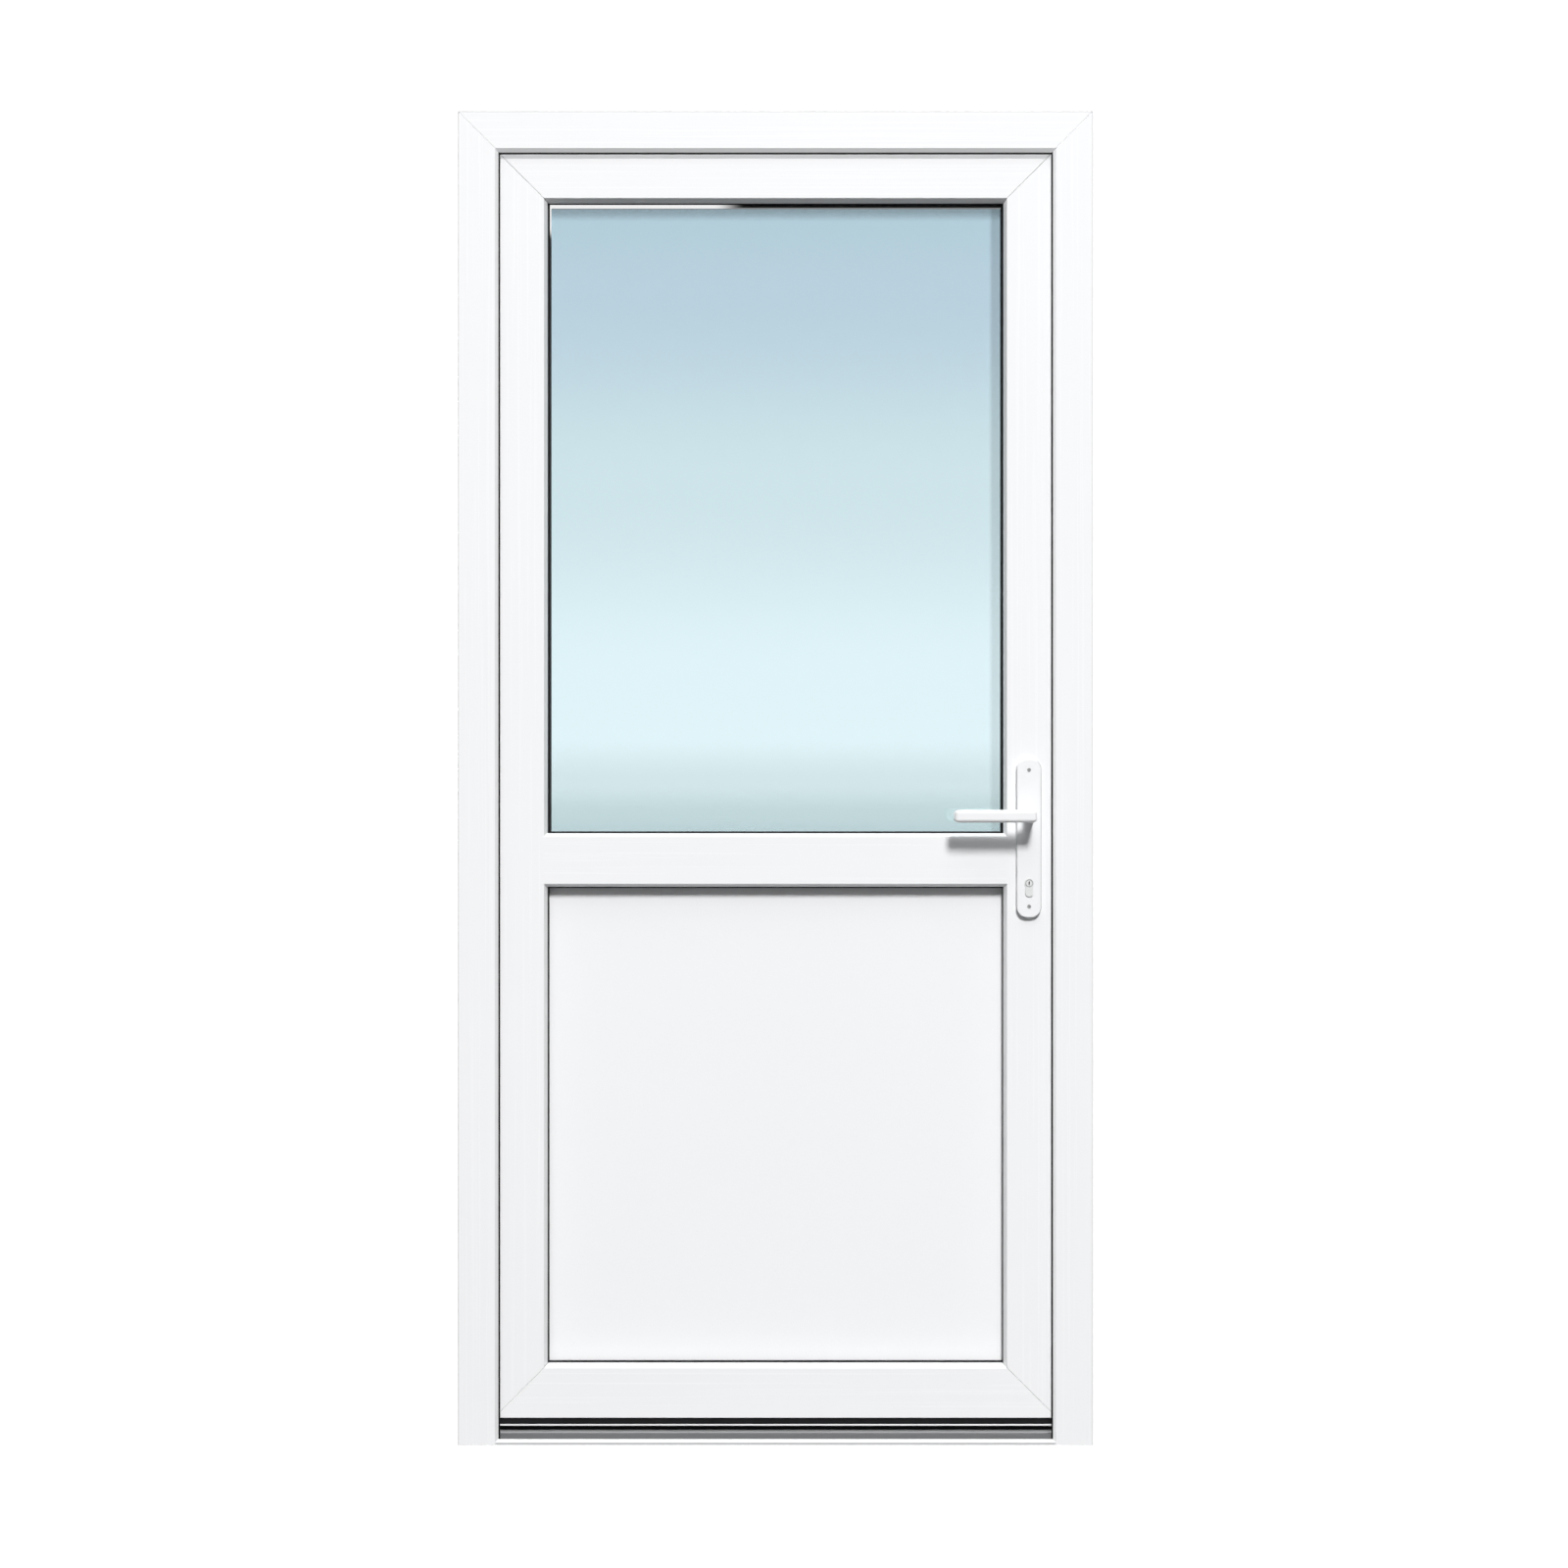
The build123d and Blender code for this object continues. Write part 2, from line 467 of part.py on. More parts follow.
with BuildPart() as panel_bead_top:
    with BuildSketch(Plane.YZ.offset(-BEX)):
        with BuildLine():
            FilletPolyline(*bead_h(P1, -1), radius=BEAD_RAD, close=True)
        make_face()
    extrude(amount=2 * BEX)
    split(bisect_by=Plane(origin=(-BEX + HAIR, 0, P1), z_dir=(1, 0, 1)), keep=Keep.TOP)
    split(bisect_by=Plane(origin=(BEX - HAIR, 0, P1), z_dir=(-1, 0, 1)), keep=Keep.TOP)
panel_bead_top.part.label = "panel_bead_top"
export_step(panel_bead_top.part, "parts/panel_bead_top.step")

with BuildPart() as panel_bead_bottom:
    with BuildSketch(Plane.YZ.offset(-BEX)):
        with BuildLine():
            FilletPolyline(*bead_h(P0, 1), radius=BEAD_RAD, close=True)
        make_face()
    extrude(amount=2 * BEX)
    split(bisect_by=Plane(origin=(-BEX + HAIR, 0, P0), z_dir=(1, 0, -1)), keep=Keep.TOP)
    split(bisect_by=Plane(origin=(BEX - HAIR, 0, P0), z_dir=(-1, 0, -1)), keep=Keep.TOP)
panel_bead_bottom.part.label = "panel_bead_bottom"
export_step(panel_bead_bottom.part, "parts/panel_bead_bottom.step")

with BuildPart() as panel_bead_left:
    with BuildSketch(Plane.XY.offset(P0)):
        with BuildLine():
            FilletPolyline(*bead_v(-BEX, 1), radius=BEAD_RAD, close=True)
        make_face()
    extrude(amount=P1 - P0)
    split(bisect_by=Plane(origin=(-BEX - HAIR, 0, P1), z_dir=(1, 0, 1)), keep=Keep.BOTTOM)
    split(bisect_by=Plane(origin=(-BEX - HAIR, 0, P0), z_dir=(1, 0, -1)), keep=Keep.BOTTOM)
panel_bead_left.part.label = "panel_bead_left"
export_step(panel_bead_left.part, "parts/panel_bead_left.step")

with BuildPart() as panel_bead_right:
    with BuildSketch(Plane.XY.offset(P0)):
        with BuildLine():
            FilletPolyline(*bead_v(BEX, -1), radius=BEAD_RAD, close=True)
        make_face()
    extrude(amount=P1 - P0)
    split(bisect_by=Plane(origin=(BEX + HAIR, 0, P1), z_dir=(-1, 0, 1)), keep=Keep.BOTTOM)
    split(bisect_by=Plane(origin=(BEX + HAIR, 0, P0), z_dir=(-1, 0, -1)), keep=Keep.BOTTOM)
panel_bead_right.part.label = "panel_bead_right"
export_step(panel_bead_right.part, "parts/panel_bead_right.step")

# ------------------------------------------------------------------ leaf seals
LS_X, LS_Z0, LS_Z1 = W / 2 - FLANGE_EDGE - 1.5, FLANGE_EDGE - LEAF_DROP + 1.5, H - FLANGE_EDGE - 1.5
with BuildPart() as leaf_seal:
    with BuildSketch(Plane.XZ.offset(-y(FLANGE_FRONT))):
        with Locations((0, (LS_Z0 + LS_Z1) / 2)):
            Rectangle(2 * LS_X, LS_Z1 - LS_Z0)
            Rectangle(2 * LS_X - 11.0, LS_Z1 - LS_Z0 - 11.0, mode=Mode.SUBTRACT)
    extrude(amount=1.0)
leaf_seal.part.label = "leaf_seal"
export_step(leaf_seal.part, "parts/leaf_seal.step")

with BuildPart() as bottom_weather_seal:
    with BuildSketch(Plane.YZ.offset(-LX + 1.5)):
        with BuildLine():
            Polyline((y(17), LZ0), (y(23), LZ0), (y(23), 29.8), (y(17), 29.8), close=True)
        make_face()
    extrude(amount=2 * LX - 3.0)
    with Locations((0, STRIKE_Y, (28.2 + LZ0 + FIT_D) / 2)):
        Box(2 * LX - 6.0, 6.0, LZ0 + FIT_D - 28.2)
bottom_weather_seal.part.label = "bottom_weather_seal"
export_step(bottom_weather_seal.part, "parts/bottom_weather_seal.step")

with BuildPart() as bottom_drip_strip:
    with BuildSketch(Plane.YZ.offset(-LX + 1.5)):
        with BuildLine():
            FilletPolyline((y(16.4), 29.8), (y(24), 29.8), (y(24), 28.0), (y(16.4), 27.5),
                           radius=[0.3, 0.3, 0.3, 0.3], close=True)
        make_face()
    extrude(amount=2 * LX - 3.0)
bottom_drip_strip.part.label = "bottom_drip_strip"
export_step(bottom_drip_strip.part, "parts/bottom_drip_strip.step")

# ------------------------------------------------------------------ lock edge
with BuildPart() as lock_faceplate:
    with BuildSketch(Plane(origin=(LX - FACE_T, STRIKE_Y, (FACE_Z0 + FACE_Z1) / 2), x_dir=(0, 1, 0), z_dir=(1, 0, 0))):
        RectangleRounded(FACE_W, FACE_Z1 - FACE_Z0, 2.0)
    extrude(amount=FACE_T)
    for zc, ln in BOLT_SLOTS:
        with Locations((LX, STRIKE_Y, zc)):
            Box(20.0, 10.6, ln - 5.4, mode=Mode.SUBTRACT)
    for zc in (190.0, 560.0, 820.0, 1080.0, 1420.0, 1910.0):
        with Locations((LX, STRIKE_Y, zc)):
            Cylinder(2.2, 20.0, rotation=(0, 90, 0), mode=Mode.SUBTRACT)
lock_faceplate.part.label = "lock_faceplate"
export_step(lock_faceplate.part, "parts/lock_faceplate.step")

with BuildPart() as lock_bolts:
    for zc, ln in BOLT_SLOTS:
        with Locations((LX - 9.0, STRIKE_Y, zc)):
            Box(20.0, 10.0, ln - 6.0)
lock_bolts.part.label = "lock_bolts"
export_step(lock_bolts.part, "parts/lock_bolts.step")

# ------------------------------------------------------------------ handle set
MID_Y = (y(LEAF_FRONT) + y(LEAF_BACK)) / 2
MIRROR = Plane(origin=(0, MID_Y, 0), z_dir=(0, 1, 0))
COLLAR_R = 9.5

with BuildPart() as outer_backplate:
    with BuildSketch(Plane.XZ.offset(-y(LEAF_FRONT))):
        with Locations((HX, PLATE_Z)):
            RectangleRounded(PLATE_W, PLATE_H, PLATE_R)
    extrude(amount=PLATE_T)
    fillet(outer_backplate.faces().sort_by(Axis.Y)[0].edges(), radius=1.8)
    with Locations((HX, y(LEAF_FRONT) - PLATE_T / 2, HZ)):
        Cylinder(COLLAR_R + RUN, PLATE_T + 2, rotation=(90, 0, 0), mode=Mode.SUBTRACT)
    with BuildSketch(Plane.XZ.offset(-y(LEAF_FRONT) - 1)):
        with Locations((HX, CYL_Z)):
            Circle(CYL_R + 0.15)
        with Locations((HX, CYL_Z - (CYL_DROP - CYL_STEM / 2) / 2 - CYL_STEM / 4)):
            RectangleRounded(CYL_STEM + 0.3, CYL_DROP + 0.3, CYL_STEM / 2)
    extrude(amount=PLATE_T + 2, mode=Mode.SUBTRACT)
    for s in (-1, 1):
        with Locations((HX, y(LEAF_FRONT) - PLATE_T / 2, PLATE_Z + s * SCREW_DZ)):
            Cylinder(2.1, PLATE_T + 2, rotation=(90, 0, 0), mode=Mode.SUBTRACT)
        with Locations((HX, y(LEAF_FRONT) - PLATE_T + 1.0, PLATE_Z + s * SCREW_DZ)):
            Cylinder(3.1, 4.0, rotation=(90, 0, 0), mode=Mode.SUBTRACT)
outer_backplate.part.label = "outer_backplate"
export_step(outer_backplate.part, "parts/outer_backplate.step")

with BuildPart() as inner_backplate:
    add(mirror(outer_backplate.part, about=MIRROR, mode=Mode.PRIVATE))
inner_backplate.part.label = "inner_backplate"
export_step(inner_backplate.part, "parts/inner_backplate.step")

with BuildPart() as plate_screws:
    for s in (-1, 1):
        with Locations((HX, y(LEAF_FRONT) - PLATE_T + 1.3, PLATE_Z + s * SCREW_DZ)):
            Cylinder(3.0, 3.3, rotation=(90, 0, 0))
            Box(3.6, 8.0, 0.8, mode=Mode.PRIVATE)
        with Locations((HX, y(LEAF_FRONT) - 2.6, PLATE_Z + s * SCREW_DZ)):
            Cylinder(2.0, 5.0, rotation=(90, 0, 0))
        for a in (0, 90):
            with Locations((HX, y(LEAF_FRONT) - PLATE_T, PLATE_Z + s * SCREW_DZ)):
                Box(3.6, 2.0, 0.8, rotation=(0, a, 0), mode=Mode.SUBTRACT)
    mirror(about=MIRROR)
plate_screws.part.label = "plate_screws"
export_step(plate_screws.part, "parts/plate_screws.step")

CYL_OUT = 1.6
with BuildPart() as lock_cylinder:
    with BuildSketch(Plane.XZ.offset(-MID_Y)):
        with Locations((HX, CYL_Z)):
            Circle(CYL_R)
        with Locations((HX, CYL_Z - (CYL_DROP - CYL_STEM / 2) / 2 - CYL_STEM / 4)):
            RectangleRounded(CYL_STEM, CYL_DROP, CYL_STEM / 2 - 0.2)
    extrude(amount=(LEAF_BACK - LEAF_FRONT) / 2 + PLATE_T + CYL_OUT)
    # ring groove round the plug and the keyway
    with BuildSketch(Plane.XZ.offset(-(y(LEAF_FRONT) - PLATE_T - CYL_OUT))):
        with Locations((HX, CYL_Z)):
            Circle(5.9)
            Circle(5.0, mode=Mode.SUBTRACT)
    extrude(amount=-0.6, mode=Mode.SUBTRACT)
    with Locations((HX, y(LEAF_FRONT) - PLATE_T - CYL_OUT, CYL_Z - 0.6)):
        Box(1.7, 12.0, 7.0, mode=Mode.SUBTRACT)
    mirror(about=MIRROR)
lock_cylinder.part.label = "lock_cylinder"
export_step(lock_cylinder.part, "parts/lock_cylinder.step")

LEVER_Y = y(LEAF_FRONT) - LEVER_OUT
with BuildPart() as outer_lever:
    with BuildLine() as lever_path:
        FilletPolyline((HX, y(LEAF_FRONT) - PLATE_T - 1.2, HZ), (HX, LEVER_Y, HZ),
                       (LEVER_TIP, LEVER_Y, HZ), radius=13.0)
    with BuildSketch(Plane(origin=(HX, y(LEAF_FRONT) - PLATE_T - 1.2, HZ), x_dir=(1, 0, 0), z_dir=(0, -1, 0))):
        RectangleRounded(LEVER_W, LEVER_H, 5.6)
    sweep()
    fillet(outer_lever.faces().sort_by(Axis.X)[0].edges(), radius=5.2)
    with Locations((HX, y(LEAF_FRONT) - PLATE_T / 2 - 3.0, HZ)):
        Cylinder(COLLAR_R, PLATE_T + 4.0, rotation=(90, 0, 0))
    with Locations((HX, y(LEAF_FRONT) - 20.0, HZ)):
        Box(SPINDLE + 0.2, 42.0, SPINDLE + 0.2, mode=Mode.SUBTRACT)
outer_lever.part.label = "outer_lever"
export_step(outer_lever.part, "parts/outer_lever.step")

IN_LEVER_Y = y(LEAF_BACK) + LEVER_OUT
with BuildPart() as inner_lever:
    with BuildLine() as inner_lever_path:
        FilletPolyline((HX, y(LEAF_BACK) + PLATE_T + 1.2, HZ), (HX, IN_LEVER_Y, HZ),
                       (IN_LEVER_TIP, IN_LEVER_Y, HZ), radius=13.0)
    with BuildSketch(Plane(origin=(HX, y(LEAF_BACK) + PLATE_T + 1.2, HZ), x_dir=(1, 0, 0), z_dir=(0, 1, 0))):
        RectangleRounded(LEVER_W, IN_LEVER_H, 5.6)
    sweep()
    fillet(inner_lever.faces().sort_by(Axis.X)[0].edges(), radius=4.4)
    with Locations((HX, y(LEAF_BACK) + PLATE_T / 2 + 3.0, HZ)):
        Cylinder(COLLAR_R, PLATE_T + 4.0, rotation=(90, 0, 0))
    with Locations((HX, y(LEAF_BACK) + 20.0, HZ)):
        Box(SPINDLE + 0.2, 42.0, SPINDLE + 0.2, mode=Mode.SUBTRACT)
inner_lever.part.label = "inner_lever"
export_step(inner_lever.part, "parts/inner_lever.step")

with BuildPart() as spindle:
    with Locations((HX, MID_Y, HZ)):
        Box(SPINDLE, LEAF_BACK - LEAF_FRONT + 80.0, SPINDLE)
spindle.part.label = "spindle"
export_step(spindle.part, "parts/spindle.step")

# ------------------------------------------------------------------ hinges on the room side
AX, AY = -W / 2 + HINGE_U, y(HINGE_V)
KN_MID = 38.0                              # leaf knuckle
KN_GAP = 0.6                               # gap between the knuckles


def build_bracket_outline():
    Polyline((AX - KNUCKLE_R, y(FD)), (AX - KNUCKLE_R, AY), (AX + 5.0, AY), (AX + 5.0, y(FD)), close=True)


with BuildPart() as hinge_brackets:
    for zc in HINGE_ZS:
        with Locations((-W / 2 + 16.5, y(FD) + 2.0, zc)):
            Box(29.0, 4.0, HINGE_H)
    fillet(hinge_brackets.edges().filter_by(Axis.Y), radius=4.0)
    for zc in HINGE_ZS:
        for zb in (zc - HINGE_H / 2, zc + KN_MID / 2 + KN_GAP):
            with BuildSketch(Plane.XY.offset(zb)):
                with BuildLine():
                    build_bracket_outline()
                make_face()
                with Locations((AX, AY)):
                    Circle(KNUCKLE_R)
            extrude(amount=HINGE_H / 2 - KN_MID / 2 - KN_GAP)
        with Locations((AX, AY, zc)):
            Cylinder(PIN_R + RUN, HINGE_H + 4, mode=Mode.SUBTRACT)
hinge_brackets.part.label = "hinge_brackets"
export_step(hinge_brackets.part, "parts/hinge_brackets.step")

with BuildPart() as hinge_wings:
    for zc in HINGE_ZS:
        with Locations((-W / 2 + 59.0, y(LEAF_BACK) + 1.75, zc)):
            Box(36.0, 3.5, HINGE_H)
    fillet(hinge_wings.edges().filter_by(Axis.Y), radius=4.0)
    for zc in HINGE_ZS:
        with BuildSketch(Plane.XY.offset(zc - KN_MID / 2)):
            with BuildLine():
                Polyline((AX, AY + KNUCKLE_R), (AX + 7.0, AY + KNUCKLE_R - 1.4), (-W / 2 + 56.0, y(LEAF_BACK) + 3.5),
                         (-W / 2 + 56.0, y(LEAF_BACK)), (-W / 2 + 41.0, y(LEAF_BACK)), (AX + 6.0, AY - 6.6),
                         (AX, AY - KNUCKLE_R), close=True)
            make_face()
            with Locations((AX, AY)):
                Circle(KNUCKLE_R)
        extrude(amount=KN_MID)
        with Locations((AX, AY, zc)):
            Cylinder(PIN_R + RUN, HINGE_H + 4, mode=Mode.SUBTRACT)
hinge_wings.part.label = "hinge_wings"
export_step(hinge_wings.part, "parts/hinge_wings.step")

with BuildPart() as hinge_pins:
    for zc in HINGE_ZS:
        with Locations((AX, AY, zc)):
            Cylinder(PIN_R, HINGE_H + 0.2)
        for s in (-1, 1):
            with Locations((AX, AY, zc + s * (HINGE_H / 2 + 1.6))):
                Cylinder(KNUCKLE_R - 0.4, 3.0)
hinge_pins.part.label = "hinge_pins"
export_step(hinge_pins.part, "parts/hinge_pins.step")
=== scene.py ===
"""Looks of the half-glazed white PVC door: refined profile meshes, fittings, materials, camera and light."""
import math

import bmesh
import bpy
from mathutils import Matrix, Vector


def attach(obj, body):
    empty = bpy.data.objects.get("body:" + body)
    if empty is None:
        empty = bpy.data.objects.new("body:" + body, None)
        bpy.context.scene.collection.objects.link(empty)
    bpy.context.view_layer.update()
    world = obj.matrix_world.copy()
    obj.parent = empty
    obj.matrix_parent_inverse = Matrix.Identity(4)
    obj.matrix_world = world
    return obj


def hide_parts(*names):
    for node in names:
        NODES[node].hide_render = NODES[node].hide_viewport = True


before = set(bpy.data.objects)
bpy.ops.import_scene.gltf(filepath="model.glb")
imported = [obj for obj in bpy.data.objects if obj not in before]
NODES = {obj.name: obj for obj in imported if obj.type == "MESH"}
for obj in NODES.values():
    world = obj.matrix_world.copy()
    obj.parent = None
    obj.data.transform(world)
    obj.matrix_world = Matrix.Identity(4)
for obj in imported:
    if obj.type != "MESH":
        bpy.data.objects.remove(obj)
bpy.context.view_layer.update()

scene = bpy.context.scene
MM = 0.001

# ------------------------------------------------------------------ dimensions, millimetres
W, H, Y0 = 1000.0, 2100.0, -35.0
DROP = 15.3                       # the leaf profile's zero line lies this far under the sill
TZ = 920.5                        # transom centre
STRIKE_Y = 11.0
HX, HZ, PLATE_Z, CYL_Z = 399.5, 990.7, 955.3, 884.4
HINGE_ZS = (240.0, 1050.0, 1840.0)
FIX_ZS = (180.0, 650.0, 1300.0, 1920.0)

FRAME_UV = [(0, 5), (58.4, 5), (63.6, 8.9), (63.6, 10), (45, 10), (45, 70), (0, 70),
            (0, 60), (4, 60), (4, 48), (0, 48), (0, 24), (4, 24), (4, 12), (0, 12)]
FRAME_RAD = [0.5, 1.6, 0.4, 0.2, 0.3, 2.0, 0.8, 0.5, 0.3, 0.3, 0.5, 0.5, 0.3, 0.3, 0.5]
LEG = 139.2                       # edge of the leaf profile towards the glass
LEAF_UV = [(55.5, 15), (LEG - 4.6, 15), (LEG, 23), (LEG, 31), (121, 31), (121, 85), (37, 85), (37, 76), (55.5, 76),
           (55.5, 54.15), (58, 54.15), (58, 37.85), (55.5, 37.85)]
LEAF_RAD = [1.0, 1.8, 1.0, 0.5, 0.2, 0.6, 2.5, 1.0, 0.4, 0.4, 0.2, 0.2, 0.4]
BEAD_U = 138.4
BEAD_UV = [(121, 61), (BEAD_U, 61), (BEAD_U, 67.5), (BEAD_U - 10.5, 84.4), (121, 84.4)]
BEAD_RAD = [0.2, 0.5, 2.0, 2.5, 0.6]


# ------------------------------------------------------------------ mesh helpers
def rounded(pts, rads, step=11.0):
    """Closed outline with its corners rounded, one point every step degrees of turn."""
    out, n = [], len(pts)
    for i in range(n):
        b, r = Vector(pts[i]), rads[i]
        if r <= 0:
            out.append((b.x, b.y))
            continue
        d1 = (Vector(pts[i - 1]) - b).normalized()
        d2 = (Vector(pts[(i + 1) % n]) - b).normalized()
        half = d1.angle(d2) / 2
        c = b + (d1 + d2).normalized() * (r / math.sin(half))
        s, e = b + d1 * (r / math.tan(half)), b + d2 * (r / math.tan(half))
        a1 = math.atan2(s.y - c.y, s.x - c.x)
        a2 = math.atan2(e.y - c.y, e.x - c.x)
        da = (a2 - a1 + math.pi) % (2 * math.pi) - math.pi
        k = max(2, int(round(abs(math.degrees(da)) / step)))
        for j in range(k + 1):
            a = a1 + da * j / k
            out.append((c.x + r * math.cos(a), c.y + r * math.sin(a)))
    return out


def inset(sec, g):
    """The outline moved g inwards, for the V of a weld seam."""
    n = len(sec)
    area = sum(sec[i][0] * sec[(i + 1) % n][1] - sec[(i + 1) % n][0] * sec[i][1] for i in range(n))
    sg = 1.0 if area > 0 else -1.0
    out = []
    for i in range(n):
        p, a, b = Vector(sec[i]), Vector(sec[i - 1]), Vector(sec[(i + 1) % n])
        e1, e2 = (p - a).normalized(), (b - p).normalized()
        nrm = Vector((-(e1.y + e2.y), e1.x + e2.x)) * sg
        nrm.normalize()
        cosh = max(0.5, nrm.dot(Vector((-e1.y, e1.x)) * sg))
        q = p + nrm * (g / cosh)
        out.append((q.x, q.y))
    return out


def finish_mesh(name, bm, angle=26.0):
    bmesh.ops.remove_doubles(bm, verts=bm.verts, dist=1e-7)
    bmesh.ops.recalc_face_normals(bm, faces=bm.faces)
    me = bpy.data.meshes.new(name)
    bm.to_mesh(me)
    bm.free()
    for p in me.polygons:
        p.use_smooth = True
    me.set_sharp_from_angle(angle=math.radians(angle))
    ob = bpy.data.objects.new(name, me)
    scene.collection.objects.link(ob)
    return ob


def weighted(ob):
    m = ob.modifiers.new("weighted", "WEIGHTED_NORMAL")
    m.keep_sharp = True
    m.weight = 60
    return ob


def add_rings(bm, rings, caps=(True, True), closed=False):
    """Skins a row of equal rings of points given in millimetres."""
    rows = [[bm.verts.new((x * MM, y * MM, z * MM)) for x, y, z in ring] for ring in rings]
    n = len(rows[0])
    pairs = list(zip(rows[:-1], rows[1:])) + ([(rows[-1], rows[0])] if closed else [])
    for a, b in pairs:
        for i in range(n):
            j = (i + 1) % n
            bm.faces.new((a[i], a[j], b[j], b[i]))
    if not closed:
        if caps[0]:
            bm.faces.new(rows[0])
        if caps[1]:
            bm.faces.new(list(reversed(rows[-1])))
    return rows


def member(name, sec, place, ends, weld=(True, True), w=0.7, g=0.85):
    """A straight profile: place(u, v, t) gives the point, ends(u, v) where it starts and stops. A weld seam is a fine V at a mitred end."""
    bm = bmesh.new()
    small = inset(sec, g)
    rings = []
    for k in (0, 1):
        gw = w if weld[k] else 0.35
        tip, full = [], []
        for (u, v), (us, vs) in zip(sec, small):
            tip.append(place(us, vs, ends(us, vs)[k]))
            full.append(place(u, v, ends(u, v)[k] + (gw if k == 0 else -gw)))
        rings += [tip, full] if k == 0 else [full, tip]
    add_rings(bm, rings)
    return finish_mesh(name, bm)


def loop(name, sec, x0, x1, z0, z1, open_bottom=False):
    """A rectangular ring of a section (a inwards from the line x0..x1, z0..z1, v depth), mitred at the corners."""
    bm = bmesh.new()

    def ring(cx, cz, sx, sz):
        return [(cx + sx * a, Y0 + v, cz + sz * a) for a, v in sec]

    if open_bottom:
        rings = [ring(x0, z0, 1, 0), ring(x0, z1, 1, -1), ring(x1, z1, -1, -1), ring(x1, z0, -1, 0)]
        add_rings(bm, rings)
    else:
        rings = [ring(x0, z0, 1, 1), ring(x0, z1, 1, -1), ring(x1, z1, -1, -1), ring(x1, z0, -1, 1)]
        add_rings(bm, rings, closed=True)
    return finish_mesh(name, bm)


def box_bm(bm, lo, hi):
    m = Matrix.Translation([(a + b) / 2 * MM for a, b in zip(lo, hi)]) @ Matrix.Diagonal([(b - a) * MM for a, b in zip(lo, hi)] + [1])
    bmesh.ops.create_cube(bm, size=1.0, matrix=m)


def cyl_bm(bm, centre, axis, r, length, seg=48):
    q = Vector((0, 0, 1)).rotation_difference(Vector(axis)).to_matrix().to_4x4()
    m = Matrix.Translation([c * MM for c in centre]) @ q
    bmesh.ops.create_cone(bm, cap_ends=True, segments=seg, radius1=r * MM, radius2=r * MM, depth=length * MM, matrix=m)


def cut(ob, cutters, angle=26.0):
    """Takes the cutter solids out of the piece and keeps the result as its mesh."""
    me = bpy.data.meshes.new("cutter")
    cutters.to_mesh(me)
    cutters.free()
    tool = bpy.data.objects.new("cutter", me)
    scene.collection.objects.link(tool)
    mod = ob.modifiers.new("cut", "BOOLEAN")
    mod.operation, mod.solver, mod.object = "DIFFERENCE", "EXACT", tool
    bpy.context.view_layer.update()
    dg = bpy.context.evaluated_depsgraph_get()
    new = bpy.data.meshes.new_from_object(ob.evaluated_get(dg))
    ob.modifiers.clear()
    ob.data = new
    bpy.data.objects.remove(tool)
    for p in new.polygons:
        p.use_smooth = True
    new.set_sharp_from_angle(angle=math.radians(angle))
    return ob


def turned(bm, profile, centre, axis, seg=40):
    """A solid of revolution: profile is (radius, height along the axis), from the foot to the top."""
    q = Vector((0, 0, 1)).rotation_difference(Vector(axis)).to_matrix()
    c = Vector(centre)
    rings = []
    for r, h in profile:
        rings.append([tuple(c + q @ Vector((r * math.cos(2 * math.pi * k / seg), r * math.sin(2 * math.pi * k / seg), h))) for k in range(seg)])
    add_rings(bm, rings)


# ------------------------------------------------------------------ materials
def new_mat(name):
    m = bpy.data.materials.new(name)
    m.use_nodes = True
    nt = m.node_tree
    nt.nodes.clear()
    out = nt.nodes.new("ShaderNodeOutputMaterial")
    return m, nt, out


def coords(nt, scale=(1, 1, 1)):
    tc = nt.nodes.new("ShaderNodeTexCoord")
    mp = nt.nodes.new("ShaderNodeMapping")
    mp.inputs["Scale"].default_value = scale
    nt.links.new(tc.outputs["Object"], mp.inputs["Vector"])
    return mp.outputs["Vector"]


def noise(nt, vec, scale, detail=3.0, rough=0.5):
    n = nt.nodes.new("ShaderNodeTexNoise")
    n.inputs["Scale"].default_value = scale
    n.inputs["Detail"].default_value = detail
    n.inputs["Roughness"].default_value = rough
    nt.links.new(vec, n.inputs["Vector"])
    return n.outputs["Fac"]


def ramp(nt, fac, stops, interpolation="LINEAR"):
    r = nt.nodes.new("ShaderNodeValToRGB")
    r.color_ramp.interpolation = interpolation
    el = r.color_ramp.elements
    while len(el) < len(stops):
        el.new(0.5)
    for e, (pos, col) in zip(el, stops):
        e.position = pos
        e.color = (*col, 1.0)
    nt.links.new(fac, r.inputs["Fac"])
    return r.outputs["Color"]


def to_range(nt, fac, lo, hi, flo=0.3, fhi=0.7):
    m = nt.nodes.new("ShaderNodeMapRange")
    m.inputs["From Min"].default_value = flo
    m.inputs["From Max"].default_value = fhi
    m.inputs["To Min"].default_value = lo
    m.inputs["To Max"].default_value = hi
    nt.links.new(fac, m.inputs["Value"])
    return m.outputs["Result"]


def bump(nt, height, strength, distance, normal=None):
    b = nt.nodes.new("ShaderNodeBump")
    b.inputs["Strength"].default_value = strength
    b.inputs["Distance"].default_value = distance
    nt.links.new(height, b.inputs["Height"])
    if normal is not None:
        nt.links.new(normal, b.inputs["Normal"])
    return b.outputs["Normal"]


